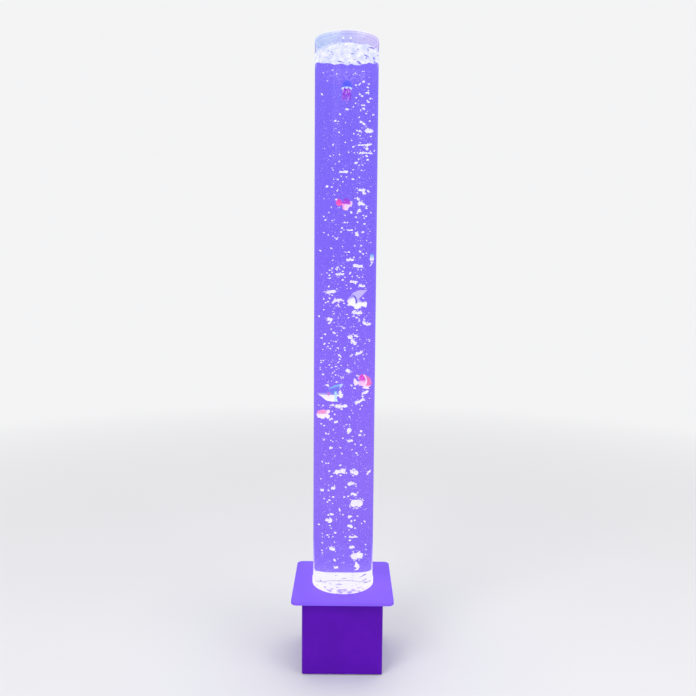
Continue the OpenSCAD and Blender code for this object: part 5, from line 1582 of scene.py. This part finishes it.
    def cyan_fish(self):
        low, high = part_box("cyan_fish")
        middle = (low + high) / 2
        half = Vector(((high.y - low.y) / 2, (high.x - low.x) / 2, (high.z - low.z) / 2))
        fish = Fish(middle - half, middle + half)
        fish.body(0.0, 0.84, ((0.0, 0.52, 0.08, 0.2), (0.14, 0.54, 0.26, 0.44), (0.4, 0.54, 0.34, 0.48),
                              (0.62, 0.5, 0.28, 0.38), (0.82, 0.44, 0.15, 0.2), (1.0, 0.4, 0.07, 0.08)))
        fish.fin(((0.24, 0.8), (0.46, 0.84), (0.66, 0.7)), ((0.36, 0.97), (0.56, 1.0), (0.84, 0.86)), rays=8)
        fish.fin(((0.78, 0.48), (0.78, 0.34)), ((0.95, 0.8), (1.0, 0.46), (0.94, 0.1)), rays=6)
        fish.fin(((0.22, 0.26), (0.5, 0.22)), ((0.2, 0.02), (0.4, 0.0), (0.62, 0.06)), rays=6, lean=0.46)
        fish.eyes(0.13, 0.64, 1.4 * MM, 0.36)

        def paint(tree, along, up):
            middle_band = split_at(tree, up, 0.58, 0.1, seen(250, 250, 255), seen(165, 210, 250))
            top = split_at(tree, up, 0.78, 0.08, middle_band, seen(95, 125, 235))
            return blend_colours(tree, stripe_at(tree, up, 0.34, 0.05, 0.04), top, seen(170, 150, 245))
        self.finish_fish(fish, "cyan", "fish_cyan", paint, turn=90)


class LAMP_OT_jellyfish(bpy.types.Operator):
    """The jellyfish: a scalloped bell and its wavy strands"""
    bl_idname = "lamp.jellyfish"
    bl_label = "Jellyfish"
    lobes = 8
    strands = 11
    wall = 0.9 * MM
    # Height of the bell's widest ring, as a share of the bell
    hem = 0.22
    dome_rings = 9

    def execute(self, context):
        low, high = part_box("jellyfish_bell")
        centre = (low + high) / 2
        radius = (high.x - low.x) / 2
        self.add_bell(low, high, centre, radius)
        self.add_strands(centre, radius)
        return {"FINISHED"}

    def dome(self, low, radius, tall):
        """(radius, height) points of the bell's dome, from its crown to its widest ring."""
        angles = [math.pi / 2 * i / self.dome_rings for i in range(self.dome_rings + 1)]
        return [(radius * math.sin(a), low + tall * (self.hem + (1 - self.hem) * math.cos(a)))
                for a in angles]

    def add_bell(self, low, high, centre, radius):
        """The bell: a dome with a wall, pinched and lifted between its lobes."""
        tall = high.z - low.z
        outer = self.dome(low.z, radius, tall)
        rim = [(radius, low.z + 0.08 * tall), (radius - 0.3 * MM, low.z)]
        inner = self.dome(low.z, radius - self.wall, tall - self.wall)[::-1]
        bm = lathe(outer + rim + inner, 64)
        for vert in bm.verts:
            angle = math.atan2(vert.co.y, vert.co.x)
            share = (vert.co.z - low.z) / tall
            wave = abs(math.cos(angle * self.lobes / 2))
            if share < 0.3:
                vert.co.z += (0.3 - share) * tall * 0.7 * (1 - wave)
            pinch = 1 - 0.05 * (1 - wave) * min(1.0, 1.6 * (1 - share))
            vert.co = Vector((vert.co.x * pinch + centre.x, vert.co.y * pinch + centre.y, vert.co.z))

        def paint(tree, along, up):
            dome = split_at(tree, up, 0.7, 0.25, seen(60, 96, 250), seen(92, 100, 251))
            hem = split_at(tree, up, 0.1, 0.08, seen(248, 240, 255), seen(206, 218, 255))
            return split_at(tree, up, 0.22, 0.03, hem, dome)
        skin = fish_finish("bell_skin", low, high, paint, scales=0.06)
        add_piece("bell_form", bm, "jellyfish_float", [skin], ["jellyfish_bell"])

    def add_strands(self, centre, radius):
        """The strands, round a hub under the bell, by turns long, short and middling."""
        low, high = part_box("jellyfish_tentacles")
        drop = high.z - low.z
        bm = bmesh.new()
        for i in range(self.strands):
            length = drop * (0.9, 0.74, 0.84)[i % 3]
            splay = (0.34 if i % 2 else 0.16) * radius
            self.add_strand(bm, i, Vector((centre.x, centre.y, high.z)), 0.62 * radius, length, splay)
        self.add_hub(bm, centre, radius, high.z)

        def paint(tree, along, up):
            # Lighter streaks along the strands
            pale_streaks = remap(tree, clouds(tree, place_on_object(tree, (1, 1, 0.3)), 3.4 * MM, 2.0), 0.53, 0.62)
            deep = blend_colours(tree, pale_streaks, seen(150, 0, 222), seen(228, 160, 255))
            return split_at(tree, up, 0.14, 0.14, seen(196, 120, 252), deep)
        skin = fish_finish("strand_skin", low, high, paint, scales=0.05)
        add_piece("strand_form", bm, "jellyfish_float", [skin], ["jellyfish_tentacles"])

    def add_strand(self, bm, number, top, reach, length, splay):
        """One wavy, tapering strand that hangs at this reach from the middle and spreads on its way down."""
        turn = math.tau * number / self.strands

        def bend(u, v):
            swing = 0.5 * MM * math.sin(7 * v + 2.4 * number) * (0.3 + v)
            out = reach + splay * v ** 1.2
            heart = top + Vector((out * math.cos(turn) + swing * math.sin(turn),
                                  out * math.sin(turn) - swing * math.cos(turn), -length * v))
            thick = (2.0 * MM * (1 - v) ** 0.45 + 0.3 * MM) * (1 + 0.2 * math.sin(21 * v + number))
            if v > 0.999:
                thick = 0.0
            return heart + Vector((math.cos(math.tau * u), math.sin(math.tau * u), 0)) * thick

        strand = bent_grid(bend, 8, 18)
        bmesh.ops.holes_fill(strand, edges=strand.edges)
        bmesh.ops.recalc_face_normals(strand, faces=strand.faces)
        join_into(bm, strand)

    def add_hub(self, bm, centre, radius, top):
        """The disc under the bell that the strands hang from."""
        hub = lathe([(0, top), (0.78 * radius, top - 0.3 * MM), (0.84 * radius, top - 1.6 * MM),
                     (0.5 * radius, top - 3.8 * MM), (0, top - 4.4 * MM)], 32)
        for vert in hub.verts:
            vert.co += Vector((centre.x, centre.y, 0))
        join_into(bm, hub)


# ---- panel and registration ----

class LAMP_PT_panel(bpy.types.Panel):
    """Lists the lamp's operators"""
    bl_label = "Bubble Tube Lamp"
    bl_idname = "LAMP_PT_panel"
    bl_space_type = "VIEW_3D"
    bl_region_type = "UI"
    bl_category = "Lamp"

    def draw(self, context):
        for operator in OPERATORS:
            self.layout.operator(operator.bl_idname)
        for group in ("lamp_water", "lamp_bubbles", "lamp_paint"):
            settings = getattr(context.scene, group)
            for name in settings.__annotations__:
                self.layout.prop(settings, name)


OPERATORS = (LAMP_OT_stage, LAMP_OT_finishes, LAMP_OT_diaphragm, LAMP_OT_tube, LAMP_OT_water, LAMP_OT_foam,
             LAMP_OT_bubbles, LAMP_OT_fish, LAMP_OT_jellyfish)
GROUPS = {"lamp_water": WaterSettings, "lamp_bubbles": BubbleSettings, "lamp_paint": PaintSettings}


def register():
    for cls in (*GROUPS.values(), *OPERATORS, LAMP_PT_panel):
        bpy.utils.register_class(cls)
    for name, group in GROUPS.items():
        setattr(bpy.types.Scene, name, PointerProperty(type=group))


def unregister():
    for name in GROUPS:
        delattr(bpy.types.Scene, name)
    for cls in reversed((*GROUPS.values(), *OPERATORS, LAMP_PT_panel)):
        bpy.utils.unregister_class(cls)


def main():
    """Builds the lamp."""
    register()
    for operator in OPERATORS:
        group, name = operator.bl_idname.split(".")
        getattr(getattr(bpy.ops, group), name)()


if __name__ == "__main__":
    main()
